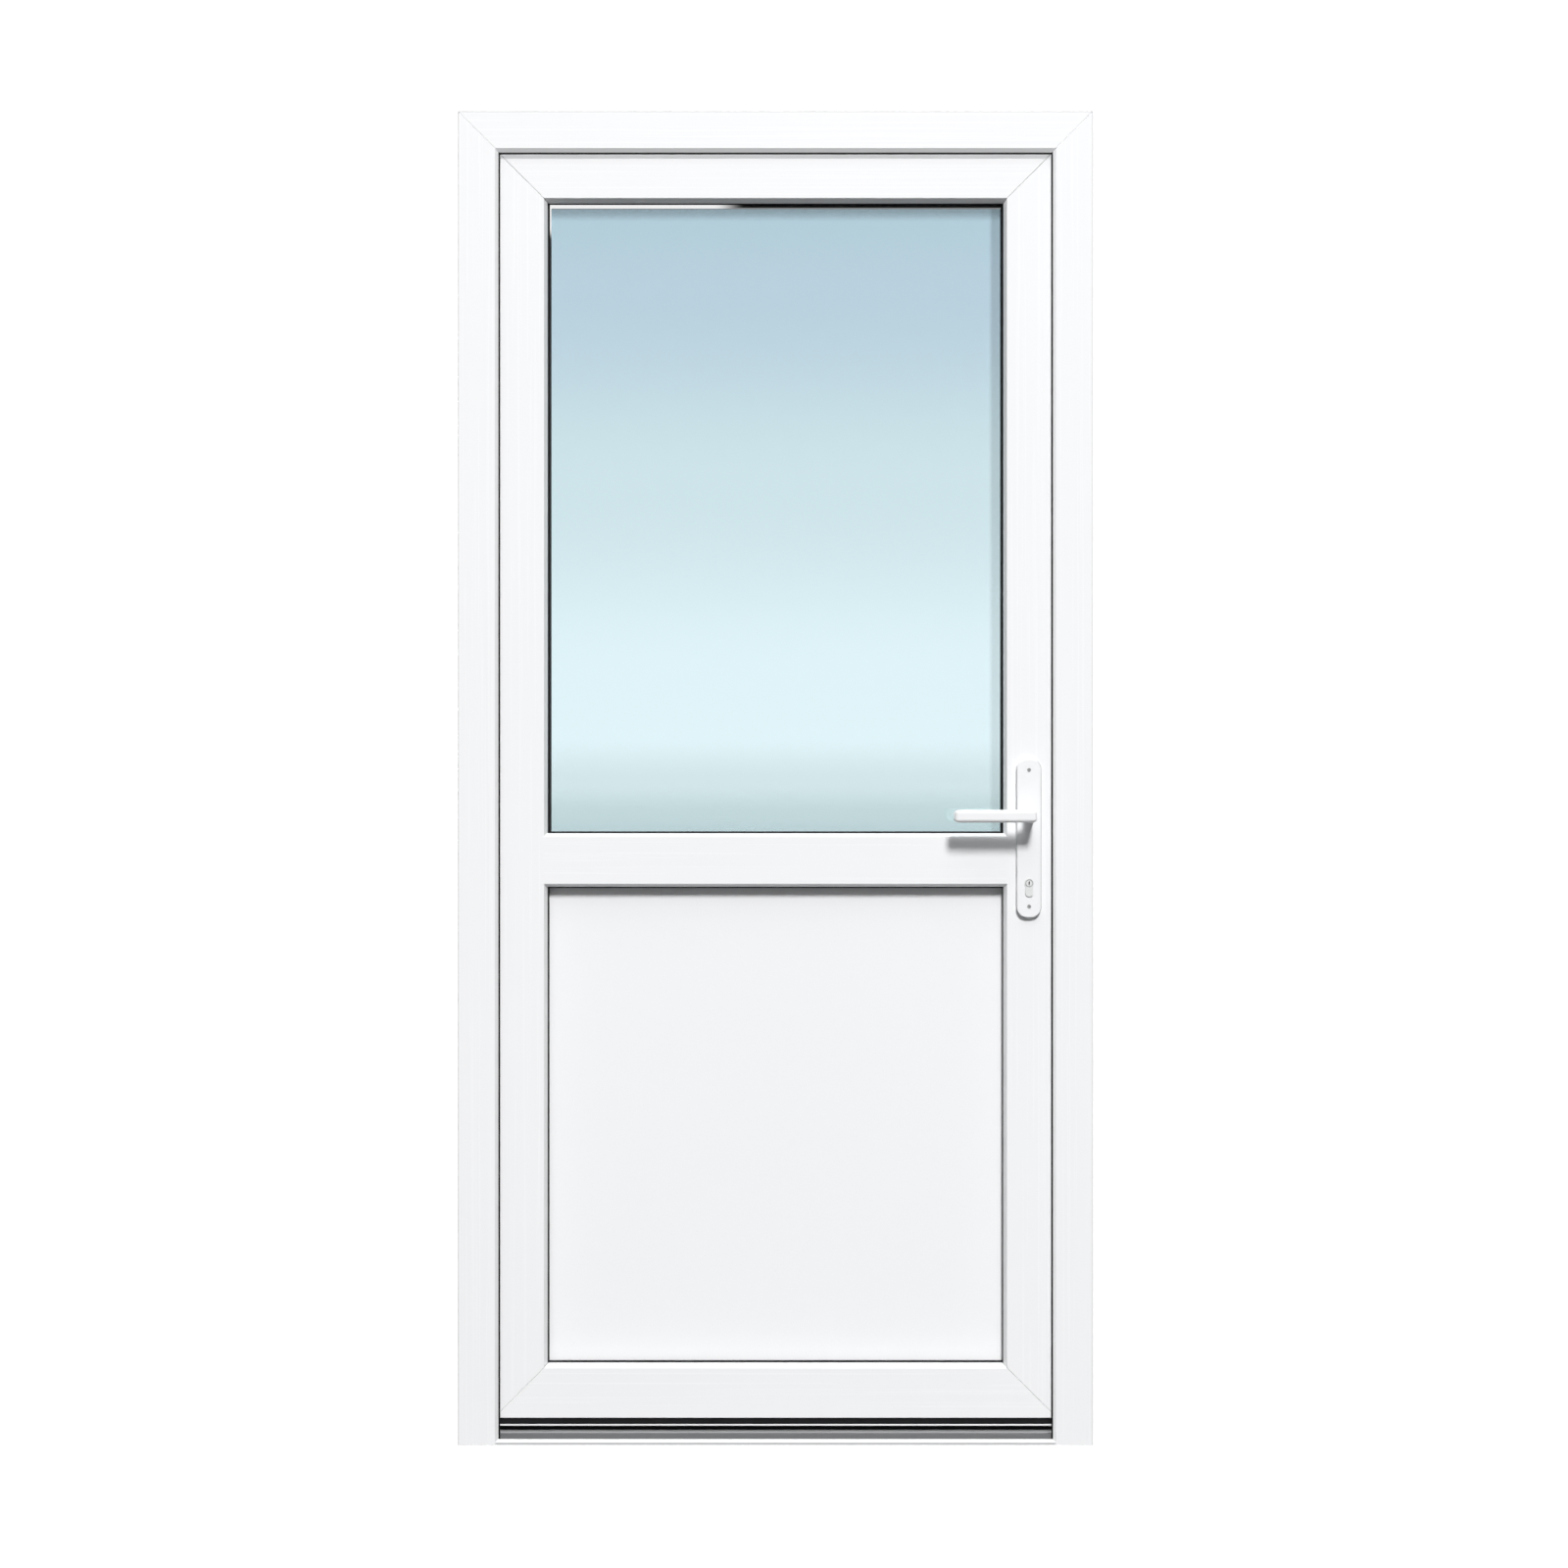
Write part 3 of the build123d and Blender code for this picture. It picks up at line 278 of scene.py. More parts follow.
def surface(name, dark, light, rough, rough_spread, tone_scale, fine, lines=None, metallic=0.0, specular=0.5, coat=0.0,
            line_strength=0.1, fine_strength=0.08, coat_rough=0.08):
    """A solid finish: slow tone changes, fine grain in the gloss, and lines drawn along one axis where the piece is extruded or brushed."""
    m, nt, out = new_mat(name)
    p = nt.nodes.new("ShaderNodeBsdfPrincipled")
    p.inputs["Metallic"].default_value = metallic
    p.inputs["Specular IOR Level"].default_value = specular
    if coat:
        p.inputs["Coat Weight"].default_value = coat
        p.inputs["Coat Roughness"].default_value = coat_rough
    vec = coords(nt)
    tone = noise(nt, vec, tone_scale, 5.0, 0.55)
    nt.links.new(ramp(nt, tone, [(0.3, dark), (0.7, light)]), p.inputs["Base Color"])
    grain = noise(nt, vec, fine, 3.0, 0.6)
    normal = bump(nt, grain, fine_strength, 0.0003)
    gloss = grain
    if lines is not None:
        drawn = noise(nt, coords(nt, lines), 1.0, 4.0, 0.65)
        normal = bump(nt, drawn, line_strength, 0.0004, normal)
        gloss = drawn
    nt.links.new(to_range(nt, gloss, rough - rough_spread, rough + rough_spread), p.inputs["Roughness"])
    nt.links.new(normal, p.inputs["Normal"])
    nt.links.new(p.outputs["BSDF"], out.inputs["Surface"])
    return m


PVC_D, PVC_L = (0.868, 0.874, 0.883), (0.880, 0.885, 0.894)
MAT = {
    "pvc_up": surface("white_pvc_upright", PVC_D, PVC_L, 0.26, 0.04, 2.2, 420.0, (260.0, 260.0, 1.3), line_strength=0.007, fine_strength=0.02, specular=0.3),
    "pvc_across": surface("white_pvc_across", PVC_D, PVC_L, 0.26, 0.04, 2.2, 420.0, (1.3, 260.0, 260.0), line_strength=0.007, fine_strength=0.02, specular=0.3),
    "panel": surface("white_panel_skin", PVC_D, PVC_L, 0.30, 0.05, 1.6, 700.0, fine_strength=0.03, specular=0.3),
    "handle": surface("white_powder_coat", (0.865, 0.87, 0.88), (0.89, 0.895, 0.905), 0.33, 0.06, 30.0, 1500.0, fine_strength=0.10, coat=0.12, coat_rough=0.15),
    "hinge": surface("white_hinge_coat", (0.85, 0.855, 0.865), (0.885, 0.89, 0.90), 0.35, 0.06, 30.0, 1400.0, fine_strength=0.10),
    "rubber": surface("black_rubber_seal", (0.005, 0.005, 0.0055), (0.010, 0.010, 0.011), 0.60, 0.08, 40.0, 1800.0, fine_strength=0.12, specular=0.2),
    "silver": surface("silver_anodised", (0.80, 0.805, 0.81), (0.86, 0.865, 0.87), 0.42, 0.05, 5.0, 900.0, (2.2, 900.0, 900.0), metallic=0.1, line_strength=0.02, fine_strength=0.01),
    "nickel": surface("satin_nickel", (0.79, 0.80, 0.795), (0.84, 0.85, 0.845), 0.36, 0.06, 60.0, 1400.0, metallic=0.15, fine_strength=0.05),
    "zinc": surface("zinc_screw", (0.40, 0.40, 0.405), (0.48, 0.48, 0.485), 0.38, 0.06, 60.0, 1400.0, metallic=0.3, fine_strength=0.05),
    "steel_up": surface("plated_steel_upright", (0.56, 0.56, 0.565), (0.66, 0.66, 0.665), 0.30, 0.07, 12.0, 900.0, (700.0, 700.0, 6.0), metallic=1.0, line_strength=0.10, fine_strength=0.03),
    "steel": surface("plated_steel", (0.58, 0.58, 0.585), (0.68, 0.68, 0.685), 0.26, 0.06, 60.0, 1200.0, metallic=1.0, fine_strength=0.05),
}


def smooth_range(nt, fac, lo, hi, flo, fhi):
    m = nt.nodes.new("ShaderNodeMapRange")
    m.interpolation_type = "SMOOTHSTEP"
    for k, x in (("From Min", flo), ("From Max", fhi), ("To Min", lo), ("To Max", hi)):
        m.inputs[k].default_value = x
    nt.links.new(fac, m.inputs["Value"])
    return m.outputs["Result"]


def maths(nt, op, a, b):
    m = nt.nodes.new("ShaderNodeMath")
    m.operation = op
    for k, x in enumerate((a, b)):
        if isinstance(x, float):
            m.inputs[k].default_value = x
        else:
            nt.links.new(x, m.inputs[k])
    return m.outputs["Value"]


def position(nt, socket="Object"):
    tc = nt.nodes.new("ShaderNodeTexCoord")
    sep = nt.nodes.new("ShaderNodeSeparateXYZ")
    nt.links.new(tc.outputs[socket], sep.inputs["Vector"])
    return sep.outputs["X"], sep.outputs["Y"], sep.outputs["Z"]


def shaded(m, factor):
    """Scales the colour of a finish by a factor that changes over the piece."""
    nt = m.node_tree
    p = next(n for n in nt.nodes if n.type == "BSDF_PRINCIPLED")
    src = p.inputs["Base Color"].links[0].from_socket
    sc = nt.nodes.new("ShaderNodeVectorMath")
    sc.operation = "SCALE"
    nt.links.new(src, sc.inputs[0])
    nt.links.new(factor(nt), sc.inputs["Scale"])
    nt.links.new(sc.outputs["Vector"], p.inputs["Base Color"])
    return m


def painted_edge_shade(nt):
    """Painted shade: a fine grey line along the frame's outer edge, on the front face, standing in for the shading of
    its rounded edge.
    """
    x, y, z = position(nt)
    edge = maths(nt, "MAXIMUM", smooth_range(nt, maths(nt, "ABSOLUTE", x, 0.0), 0.0, 1.0, 0.4977, 0.4984), smooth_range(nt, z, 0.0, 1.0, 2.0977, 2.0984))
    return maths(nt, "SUBTRACT", 1.0, maths(nt, "MULTIPLY", maths(nt, "MULTIPLY", edge, smooth_range(nt, y, 1.0, 0.0, -0.0298, -0.0290)), 0.19))


def painted_edge_and_lip_shade(nt):
    """The same painted edge shade, and painted shade that makes the lip on the hinge side a little greyer than the
    face.
    """
    x, y, z = position(nt)
    # painted shade: the hinge-side lip is made greyer
    lip = maths(nt, "MULTIPLY", smooth_range(nt, x, 0.0, 1.0, -0.4418, -0.4408), smooth_range(nt, x, 1.0, 0.0, -0.4300, -0.4200))
    lip = maths(nt, "MULTIPLY", lip, smooth_range(nt, y, 1.0, 0.0, -0.0255, -0.0245))
    return maths(nt, "SUBTRACT", painted_edge_shade(nt), maths(nt, "MULTIPLY", lip, 0.16))


def painted_bevel_shade(nt):
    """Painted shade: the glazing bevel on the hinge side is made a little greyer than the face."""
    x, y, z = position(nt)
    shade_band = maths(nt, "MULTIPLY", smooth_range(nt, x, 0.0, 1.0, -0.3655, -0.3645), smooth_range(nt, x, 1.0, 0.0, -0.3600, -0.3595))
    return maths(nt, "SUBTRACT", 1.0, maths(nt, "MULTIPLY", maths(nt, "MULTIPLY", shade_band, smooth_range(nt, y, 1.0, 0.0, -0.004, -0.002)), 0.14))


def painted_plate_edge_shade(nt):
    """Painted shade: the plate is darker where its lock-side edge turns away, most on the rounding, less on the flat
    side.
    """
    x, y, z = position(nt, "Normal")
    return maths(nt, "ADD", smooth_range(nt, x, 1.0, 0.45, 0.18, 0.55), smooth_range(nt, x, 0.0, 0.37, 0.75, 0.95))


PVC = dict(line_strength=0.007, fine_strength=0.02, specular=0.3)
# the frame's finishes carry painted shade along their outer edge, the jambs also on the hinge-side lip
MAT["frame_up"] = shaded(surface("white_pvc_jamb", PVC_D, PVC_L, 0.26, 0.04, 2.2, 420.0, (260.0, 260.0, 1.3), **PVC), painted_edge_and_lip_shade)
MAT["frame_across"] = shaded(surface("white_pvc_head", PVC_D, PVC_L, 0.26, 0.04, 2.2, 420.0, (1.3, 260.0, 260.0), **PVC), painted_edge_shade)
# painted shade on the hinge-side glazing bevel
shaded(MAT["pvc_up"], painted_bevel_shade)
# painted shade on the plate's lock-side edge
MAT["plate"] = shaded(surface("white_powder_coat_plate", (0.865, 0.87, 0.88), (0.89, 0.895, 0.905), 0.33, 0.06, 30.0, 1500.0, fine_strength=0.10, coat=0.12, coat_rough=0.15), painted_plate_edge_shade)


def glass(name, stops, reveal):
    """Clear pane: what passes through is tinted by a painted sky reflection, a slow change of tone over the height;
    what reflects grows at a glancing angle.
    """
    m, nt, out = new_mat(name)
    tc = nt.nodes.new("ShaderNodeTexCoord")
    sep = nt.nodes.new("ShaderNodeSeparateXYZ")
    nt.links.new(tc.outputs["Object"], sep.inputs["Vector"])
    x, z = sep.outputs["X"], sep.outputs["Z"]
    # painted sky reflection over the height of the pane
    colour = ramp(nt, to_range(nt, z, 0.0, 1.0, 0.962, 1.962), stops, "EASE")
    if reveal:
        # painted shade of the reveal darkens the pane along its top and its lock-side edge
        top = maths(nt, "MAXIMUM", smooth_range(nt, z, 1.0, 0.75, 1.932, 1.952), smooth_range(nt, z, 0.0, 1.0, 1.9531, 1.9539))
        deep = to_range(nt, z, 0.085, 0.165, 0.962, 1.962)
        side = maths(nt, "SUBTRACT", 1.0, maths(nt, "MULTIPLY", smooth_range(nt, x, 0.0, 1.0, 0.3375, 0.3465), deep))
        shade = nt.nodes.new("ShaderNodeVectorMath")
        shade.operation = "SCALE"
        nt.links.new(colour, shade.inputs[0])
        nt.links.new(maths(nt, "MULTIPLY", top, side), shade.inputs["Scale"])
        # in front of the spacer the pane is clear, without the painted tint and shade
        edge = maths(nt, "MAXIMUM", smooth_range(nt, z, 0.0, 1.0, 1.9531, 1.9539), smooth_range(nt, x, 1.0, 0.0, -0.3560, -0.3553))
        clear = nt.nodes.new("ShaderNodeVectorMath")
        clear.operation = "MAXIMUM"
        both = nt.nodes.new("ShaderNodeCombineXYZ")
        for axis in "XYZ":
            nt.links.new(maths(nt, "MULTIPLY", edge, 0.97), both.inputs[axis])
        nt.links.new(shade.outputs["Vector"], clear.inputs[0])
        nt.links.new(both.outputs["Vector"], clear.inputs[1])
        colour = clear.outputs["Vector"]
    tr = nt.nodes.new("ShaderNodeBsdfTransparent")
    nt.links.new(colour, tr.inputs["Color"])
    gl = nt.nodes.new("ShaderNodeBsdfGlossy")
    gl.inputs["Roughness"].default_value = 0.015
    # both faces of the pane reflect alike, a little face-on and more at a glancing angle
    lw = nt.nodes.new("ShaderNodeLayerWeight")
    lw.inputs["Blend"].default_value = 0.5
    fac = maths(nt, "ADD", maths(nt, "MULTIPLY", maths(nt, "POWER", lw.outputs["Facing"], 5.0), 0.6), 0.04)
    mix = nt.nodes.new("ShaderNodeMixShader")
    nt.links.new(fac, mix.inputs["Fac"])
    nt.links.new(tr.outputs["BSDF"], mix.inputs[1])
    nt.links.new(gl.outputs["BSDF"], mix.inputs[2])
    nt.links.new(mix.outputs["Shader"], out.inputs["Surface"])
    return m


# painted reflection of a pale sky: bluest at the top, lightest low down, greyer green at the bottom
PAINTED_SKY_STOPS = [(0.0, (0.72, 0.81, 0.83)), (0.03, (0.75, 0.84, 0.855)), (0.08, (0.825, 0.907, 0.923)), (0.155, (0.887, 0.970, 0.993)),
               (0.25, (0.883, 0.966, 0.990)), (0.55, (0.806, 0.898, 0.926)), (0.86, (0.72, 0.815, 0.873)), (1.0, (0.69, 0.795, 0.85))]
MAT["glass_out"] = glass("glass_outer_pane", PAINTED_SKY_STOPS, True)
MAT["glass_in"] = glass("glass_inner_pane", [(0.0, (0.985, 0.992, 0.990)), (1.0, (0.98, 0.99, 0.988))], False)


def spacer(name):
    """Dark bar with a fine grain; towards one corner a painted highlight glows white, and a faint painted glow runs
    along the rear of its top bar.
    """
    m = surface(name, (0.008, 0.008, 0.009), (0.014, 0.014, 0.016), 0.65, 0.06, 25.0, 900.0, specular=0.06, fine_strength=0.05)
    nt = m.node_tree
    p = next(n for n in nt.nodes if n.type == "BSDF_PRINCIPLED")
    tc = nt.nodes.new("ShaderNodeTexCoord")
    sep = nt.nodes.new("ShaderNodeSeparateXYZ")
    nt.links.new(tc.outputs["Object"], sep.inputs["Vector"])
    # painted highlight: the front of the bar glows white towards the top-left corner
    painted_glint = maths(nt, "MULTIPLY", smooth_range(nt, sep.outputs["X"], 1.0, 0.0, -0.10, -0.05), smooth_range(nt, sep.outputs["Z"], 0.0, 1.0, 1.905, 1.925))
    painted_glint = maths(nt, "MULTIPLY", painted_glint, smooth_range(nt, sep.outputs["Y"], 1.0, 0.0, 0.0150, 0.0185))
    p.inputs["Emission Color"].default_value = (1.0, 1.0, 1.0, 1.0)
    # painted glow along the rear of the top bar
    rear_painted_glow = maths(nt, "MULTIPLY", smooth_range(nt, sep.outputs["Y"], 0.0, 0.28, 0.0105, 0.0135), smooth_range(nt, sep.outputs["Z"], 0.0, 1.0, 1.950, 1.955))
    nt.links.new(maths(nt, "MAXIMUM", painted_glint, rear_painted_glow), p.inputs["Emission Strength"])
    return m


MAT["spacer"] = spacer("dark_spacer_bar")


def aluminium(name):
    """Mill-finish aluminium with a drawn grain along its length: everything below 12 mm, the tread too, is darker than
    the upstand and the room side, a painted shade of the leaf.
    """
    m = surface(name, (0.5, 0.5, 0.5), (0.5, 0.5, 0.5), 0.50, 0.06, 5.0, 900.0, (2.2, 900.0, 900.0), metallic=0.2, line_strength=0.03, fine_strength=0.01)
    nt = m.node_tree
    p = next(n for n in nt.nodes if n.type == "BSDF_PRINCIPLED")
    tc = nt.nodes.new("ShaderNodeTexCoord")
    sep = nt.nodes.new("ShaderNodeSeparateXYZ")
    nt.links.new(tc.outputs["Object"], sep.inputs["Vector"])
    grain = to_range(nt, noise(nt, coords(nt, (9.0, 1300.0, 1300.0)), 1.0, 4.0, 0.7), -0.16, 0.16)
    # painted shade: below 12 mm the finish is darker
    step = smooth_range(nt, sep.outputs["Z"], 0.0, 0.7, 0.0121, 0.0125)
    fac = maths(nt, "ADD", maths(nt, "ADD", step, 0.15), maths(nt, "MULTIPLY", grain, 0.6))
    nt.links.new(ramp(nt, fac, [(0.0, (0.165, 0.167, 0.172)), (0.30, (0.235, 0.238, 0.243)), (0.70, (0.46, 0.463, 0.47)), (1.0, (0.56, 0.563, 0.57))]), p.inputs["Base Color"])
    return m


MAT["aluminium"] = aluminium("mill_aluminium")


def paint(ob, key):
    ob.data.materials.clear()
    ob.data.materials.append(MAT[key])
    return ob


def piece(ob, body, nodes, key, soft_normals=True):
    paint(ob, key)
    if soft_normals:
        weighted(ob)
    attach(ob, body)
    if nodes:
        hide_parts(*nodes)
    return ob


# ------------------------------------------------------------------ frame
F = rounded(FRAME_UV, FRAME_RAD)
# the head's lip reaches a little lower than the jambs' lips do inwards
HEAD_UV = FRAME_UV[:2] + [(65.0, 9.4), (65.0, 10)] + FRAME_UV[4:]
HEAD_RAD = FRAME_RAD[:2] + [0.25, 0.15] + FRAME_RAD[4:]
head = member("frame_head_profile", rounded(HEAD_UV, HEAD_RAD), lambda u, v, t: (t, Y0 + v, H - u), lambda u, v: (-W / 2 + u, W / 2 - u))
piece(head, "frame", ["frame_head"], "frame_across")

jamb_h = member("frame_jamb_hinge_profile", F, lambda u, v, t: (-W / 2 + u, Y0 + v, t), lambda u, v: (0.0, H - u), weld=(False, True))
holes = bmesh.new()
for z in FIX_ZS:
    cyl_bm(holes, (-W / 2 + 22.5, 5.0, z), (1, 0, 0), 4.0, 60.0)
cut(jamb_h, holes)
piece(jamb_h, "frame", ["frame_jamb_hinge"], "frame_up")

LOCK_UV = FRAME_UV[:2] + [(62.8, 8.3), (62.8, 10)] + FRAME_UV[4:]
jamb_l = member("frame_jamb_lock_profile", rounded(LOCK_UV, FRAME_RAD), lambda u, v, t: (W / 2 - u, Y0 + v, t), lambda u, v: (0.0, H - u), weld=(False, True))
holes = bmesh.new()
for z in FIX_ZS:
    cyl_bm(holes, (W / 2 - 22.5, 5.0, z), (1, 0, 0), 4.0, 60.0)
cut(jamb_l, holes)
STRIKES = ((950.0, 210.0), (330.0, 110.0), (1720.0, 110.0))
BOLT_SLOTS = ((1006.0, 36.0), (900.0, 40.0), (330.0, 50.0), (1720.0, 50.0))
seats = bmesh.new()
for zc, ln in STRIKES:
    box_bm(seats, (453.5, STRIKE_Y - 10.2, zc - ln / 2 - 0.2), (456.5, STRIKE_Y + 10.2, zc + ln / 2 + 0.2))
cut(jamb_l, seats)
pockets = bmesh.new()
for zc, ln in BOLT_SLOTS:
    box_bm(pockets, (450.0, STRIKE_Y - 6.0, zc - ln / 2), (470.0, STRIKE_Y + 6.0, zc + ln / 2))
cut(jamb_l, pockets)
piece(jamb_l, "frame", ["frame_jamb_lock"], "frame_up")


# threshold with ribs on its tread and a fine groove in its upstand, behind a white nosing that is scribed round the jamb lips
def threshold_section():
    pts = [(10.05, 0), (10.05, 8.95), (30, 12), (30, 14.35), (30.35, 14.6), (30, 14.85), (30, 17.2), (32, 17.2), (32, 13.5), (36, 13.5), (36, 15.5)]
    rad = [0, 0.4, 0.3, 0.1, 0.1, 0.1, 0.4, 0.4, 0.2, 0.2, 0.5]
    for v in (40.0, 44.0, 48.0, 52.0, 56.0, 60.0):
        pts += [(v - 0.9, 15.5), (v - 0.6, 14.7), (v + 0.6, 14.7), (v + 0.9, 15.5)]
        rad += [0.15, 0.15, 0.15, 0.15]
    pts += [(64, 15.5), (70, 10), (70, 0)]
    rad += [1.0, 1.0, 0]
    return rounded(pts, rad, 16.0)


sill = member("threshold_sill", threshold_section(), lambda v, z, t: (t, Y0 + v, z), lambda v, z: (-455.0, 455.0), weld=(False, False), w=0.0, g=0.0)
piece(sill, "frame", ["threshold"], "aluminium")


def nosing_end(v, run, depth):
    return W / 2 - 58.4 - run * min(max(v - 5.0, 0.0), depth) / depth - 0.1


NS = rounded([(6.9, 0.0), (5.0, 4.9), (8.0, 7.36), (9.95, 8.95), (9.95, 0.0)], [0, 0.7, 0, 0.4, 0], 14.0)
nosing = member("threshold_nosing_profile", NS, lambda v, z, t: (t, Y0 + v, z), lambda v, z: (-nosing_end(v, 5.2, 3.9), nosing_end(v, 4.4, 3.3)), weld=(False, False), w=0.0, g=0.0)
piece(nosing, "frame", ["threshold_nosing"], "pvc_across")

TS = rounded([(32.1, 13.6), (35.9, 13.6), (35.9, 17.6), (34.9, 21.7), (32.3, 21.7), (32.1, 18.0)], [0, 0, 0.8, 0.9, 0.9, 0.4], 15.0)
ts = member("threshold_seal_lip", TS, lambda v, z, t: (t, Y0 + v, z), lambda v, z: (-454.8, 454.8), weld=(False, False), g=0.2)
piece(ts, "frame", ["threshold_seal"], "rubber")

FS = rounded([(0.0, 9.0), (2.0, 8.95), (3.9, 9.1), (3.9, 9.6), (2.9, 9.95), (0.0, 9.95)], [0, 0.3, 0.2, 0.2, 0.2, 0], 20.0)
fs = loop("frame_seal_lip", FS, -W / 2 + 62.4, W / 2 - 61.5, 9.6, H - 63.5, open_bottom=True)
piece(fs, "frame", ["frame_seal"], "rubber")

# ------------------------------------------------------------------ leaf
L = rounded(LEAF_UV, LEAF_RAD)
across = lambda u, v: (-W / 2 + u, W / 2 - u)
upright = lambda u, v: (u - DROP, H - u)
for nm, place, ends, key in (
        ("top_rail", lambda u, v, t: (t, Y0 + v, H - u), across, "pvc_across"),
        ("bottom_rail", lambda u, v, t: (t, Y0 + v, u - DROP), across, "pvc_across"),
        ("hinge_stile", lambda u, v, t: (-W / 2 + u, Y0 + v, t), upright, "pvc_up"),
        ("lock_stile", lambda u, v, t: (W / 2 - u, Y0 + v, t), upright, "pvc_up")):
    piece(member(nm + "_profile", L, place, ends, w=0.8, g=1.2), "leaf", [nm], key)

TR = rounded([(-37.7, 15), (37.7, 15), (42.3, 23), (42.3, 31), (25.7, 31), (25.7, 85), (-25.7, 85), (-25.7, 31), (-42.3, 31), (-42.3, 23)],
             [1.8, 1.8, 1.0, 0.5, 0.2, 0.6, 0.6, 0.2, 0.5, 1.0])


def transom_end(v):
    """How far the transom runs into the stiles: it is scribed to their bevel."""
    if v <= 15.02:
        u = LEG - 5.7
    elif v <= 23:
        u = LEG - 5.0 + 4.6 * (v - 15.0) / 8.0
    elif v <= 31.2:
        u = LEG - 0.3
    else:
        u = 120.7
    return W / 2 - u


tr = member("transom_profile", TR, lambda w, v, t: (t, Y0 + v, TZ + w), lambda w, v: (-transom_end(v), transom_end(v)), weld=(False, False), w=0.0, g=0.0)
piece(tr, "leaf", ["transom"], "pvc_across")

# gaskets: a soft lip that shows as a thin black line beside each leg and bead
GO = rounded([(-9.0, 31.02), (1.1, 31.02), (2.9, 32.3), (2.9, 33.5), (2.4, 33.98), (-9.0, 33.98)], [0, 0.8, 0.6, 0.4, 0.3, 0], 20.0)
PO = rounded([(-6.0, 31.02), (0.6, 31.02), (1.7, 32.6), (1.7, 37.9), (1.2, 38.98), (-6.0, 38.98)], [0, 0.5, 0.6, 0.5, 0.3, 0], 20.0)
GI = rounded([(-7.0, 58.02), (0.2, 58.02), (0.6, 58.5), (0.6, 59.8), (-0.2, 60.98), (-7.0, 60.98)], [0, 0.2, 0.3, 0.4, 0.4, 0], 20.0)
for nm, sec, x, more, z0, z1 in (
        ("glass_gasket_outer", GO, W / 2 - LEG, 0.0, TZ + 42.3, H - LEG + 1.6),
        ("panel_gasket_outer", PO, W / 2 - LEG, 0.9, LEG - DROP, TZ - 43.0),
        ("glass_gasket_inner", GI, W / 2 - BEAD_U, 0.0, TZ + BEAD_U - 95.3, H - BEAD_U),
        ("panel_gasket_inner", GI, W / 2 - BEAD_U, 0.0, BEAD_U - DROP, TZ - BEAD_U + 95.3)):
    piece(loop(nm + "_lip", sec, -x, x + more, z0, z1), "leaf", [nm], "rubber")

# spacer bar between the panes
SP = rounded([(0.0, 38.05), (11.6, 38.05), (11.6, 53.95), (0.0, 53.95)], [0.4, 0.5, 0.5, 0.4], 20.0)
piece(loop("glass_spacer_bar", SP, -W / 2 + 131.0, W / 2 - 130.2, TZ + 43.7 - 11.6, H - 129.9), "leaf", ["glass_spacer"], "spacer")

# beads
B = rounded(BEAD_UV, BEAD_RAD)
HAIR = 0.15
BEX = W / 2 - 121.0
for group, z0, z1 in (("glass", TZ + 25.7, H - 121.0), ("panel", 121.0 - DROP, TZ - 25.7)):
    flat_ends = lambda u, v: (-BEX + HAIR + (u - 121.0), BEX - HAIR - (u - 121.0))
    up_ends = lambda u, v, z0=z0, z1=z1: (z0 + HAIR + (u - 121.0), z1 - HAIR - (u - 121.0))
    for side, place, ends, key in (
            ("top", lambda u, v, t, z1=z1: (t, Y0 + v, z1 - (u - 121.0)), flat_ends, "pvc_across"),
            ("bottom", lambda u, v, t, z0=z0: (t, Y0 + v, z0 + (u - 121.0)), flat_ends, "pvc_across"),
            ("left", lambda u, v, t: (-BEX + (u - 121.0), Y0 + v, t), up_ends, "pvc_up"),
            ("right", lambda u, v, t: (BEX - (u - 121.0), Y0 + v, t), up_ends, "pvc_up")):
        nm = f"{group}_bead_{side}"
        piece(member(nm + "_profile", B, place, ends, w=0.3, g=0.2), "leaf", [nm], key)

# seals of the leaf
LS = rounded([(0, 75.05), (5.5, 75.05), (5.5, 75.95), (0, 75.95)], [0.4, 0.4, 0.3, 0.3], 25.0)
piece(loop("leaf_seal_lip", LS, -W / 2 + 38.5, W / 2 - 38.5, 38.5 - DROP, H - 38.5), "leaf", ["leaf_seal"], "rubber")


def weather_seal():
    bm = bmesh.new()
    lip = rounded([(17.0, 40.1), (23.0, 40.1), (23.0, 37.6), (22.2, 36.9), (22.2, 35.2), (23.0, 34.6), (23.0, 31.0), (22.0, 29.9), (18.2, 29.9), (17.0, 31.2)],
                  [0, 0, 0.3, 0.3, 0.3, 0.3, 0.6, 0.6, 0.8, 0.8], 20.0)
    brush = rounded([(43.0, 42.6), (49.0, 42.6), (49.0, 39.0), (47.4, 37.4), (47.2, 28.6), (46.0, 28.2), (44.8, 28.6), (44.6, 37.4), (43.0, 39.0)],
                    [0, 0, 0.4, 0.5, 0.4, 0.5, 0.4, 0.5, 0.4], 20.0)
    for sec, x in ((lip, 443.0), (brush, 441.5)):
        add_rings(bm, [[(s * x, Y0 + v, z) for v, z in sec] for s in (-1, 1)])
    return finish_mesh("bottom_weather_seal_lips", bm)


piece(weather_seal(), "leaf", ["bottom_weather_seal"], "rubber")
DS = rounded([(16.4, 29.8), (24.0, 29.8), (24.0, 28.0), (16.4, 27.5)], [0.4, 0.3, 0.3, 0.4], 15.0)
piece(member("bottom_drip_strip_profile", DS, lambda v, z, t: (t, Y0 + v, z), lambda v, z: (-443.0, 443.0), weld=(False, False), g=0.2),
      "leaf", ["bottom_drip_strip"], "silver")

# ------------------------------------------------------------------ screws of the fittings
def screw_head(bm, centre, axis, r, proud, cross=True):
    """Low domed head, its foot at centre; its cross recess is cut afterwards in screws()."""
    c, a = Vector(centre), Vector(axis).normalized()
    prof = [(r * 0.98, -0.6), (r, 0.0), (r * 0.97, proud * 0.35), (r * 0.85, proud * 0.72), (r * 0.6, proud * 0.94), (r * 0.3, proud)]
    turned(bm, prof, centre, axis, 32)


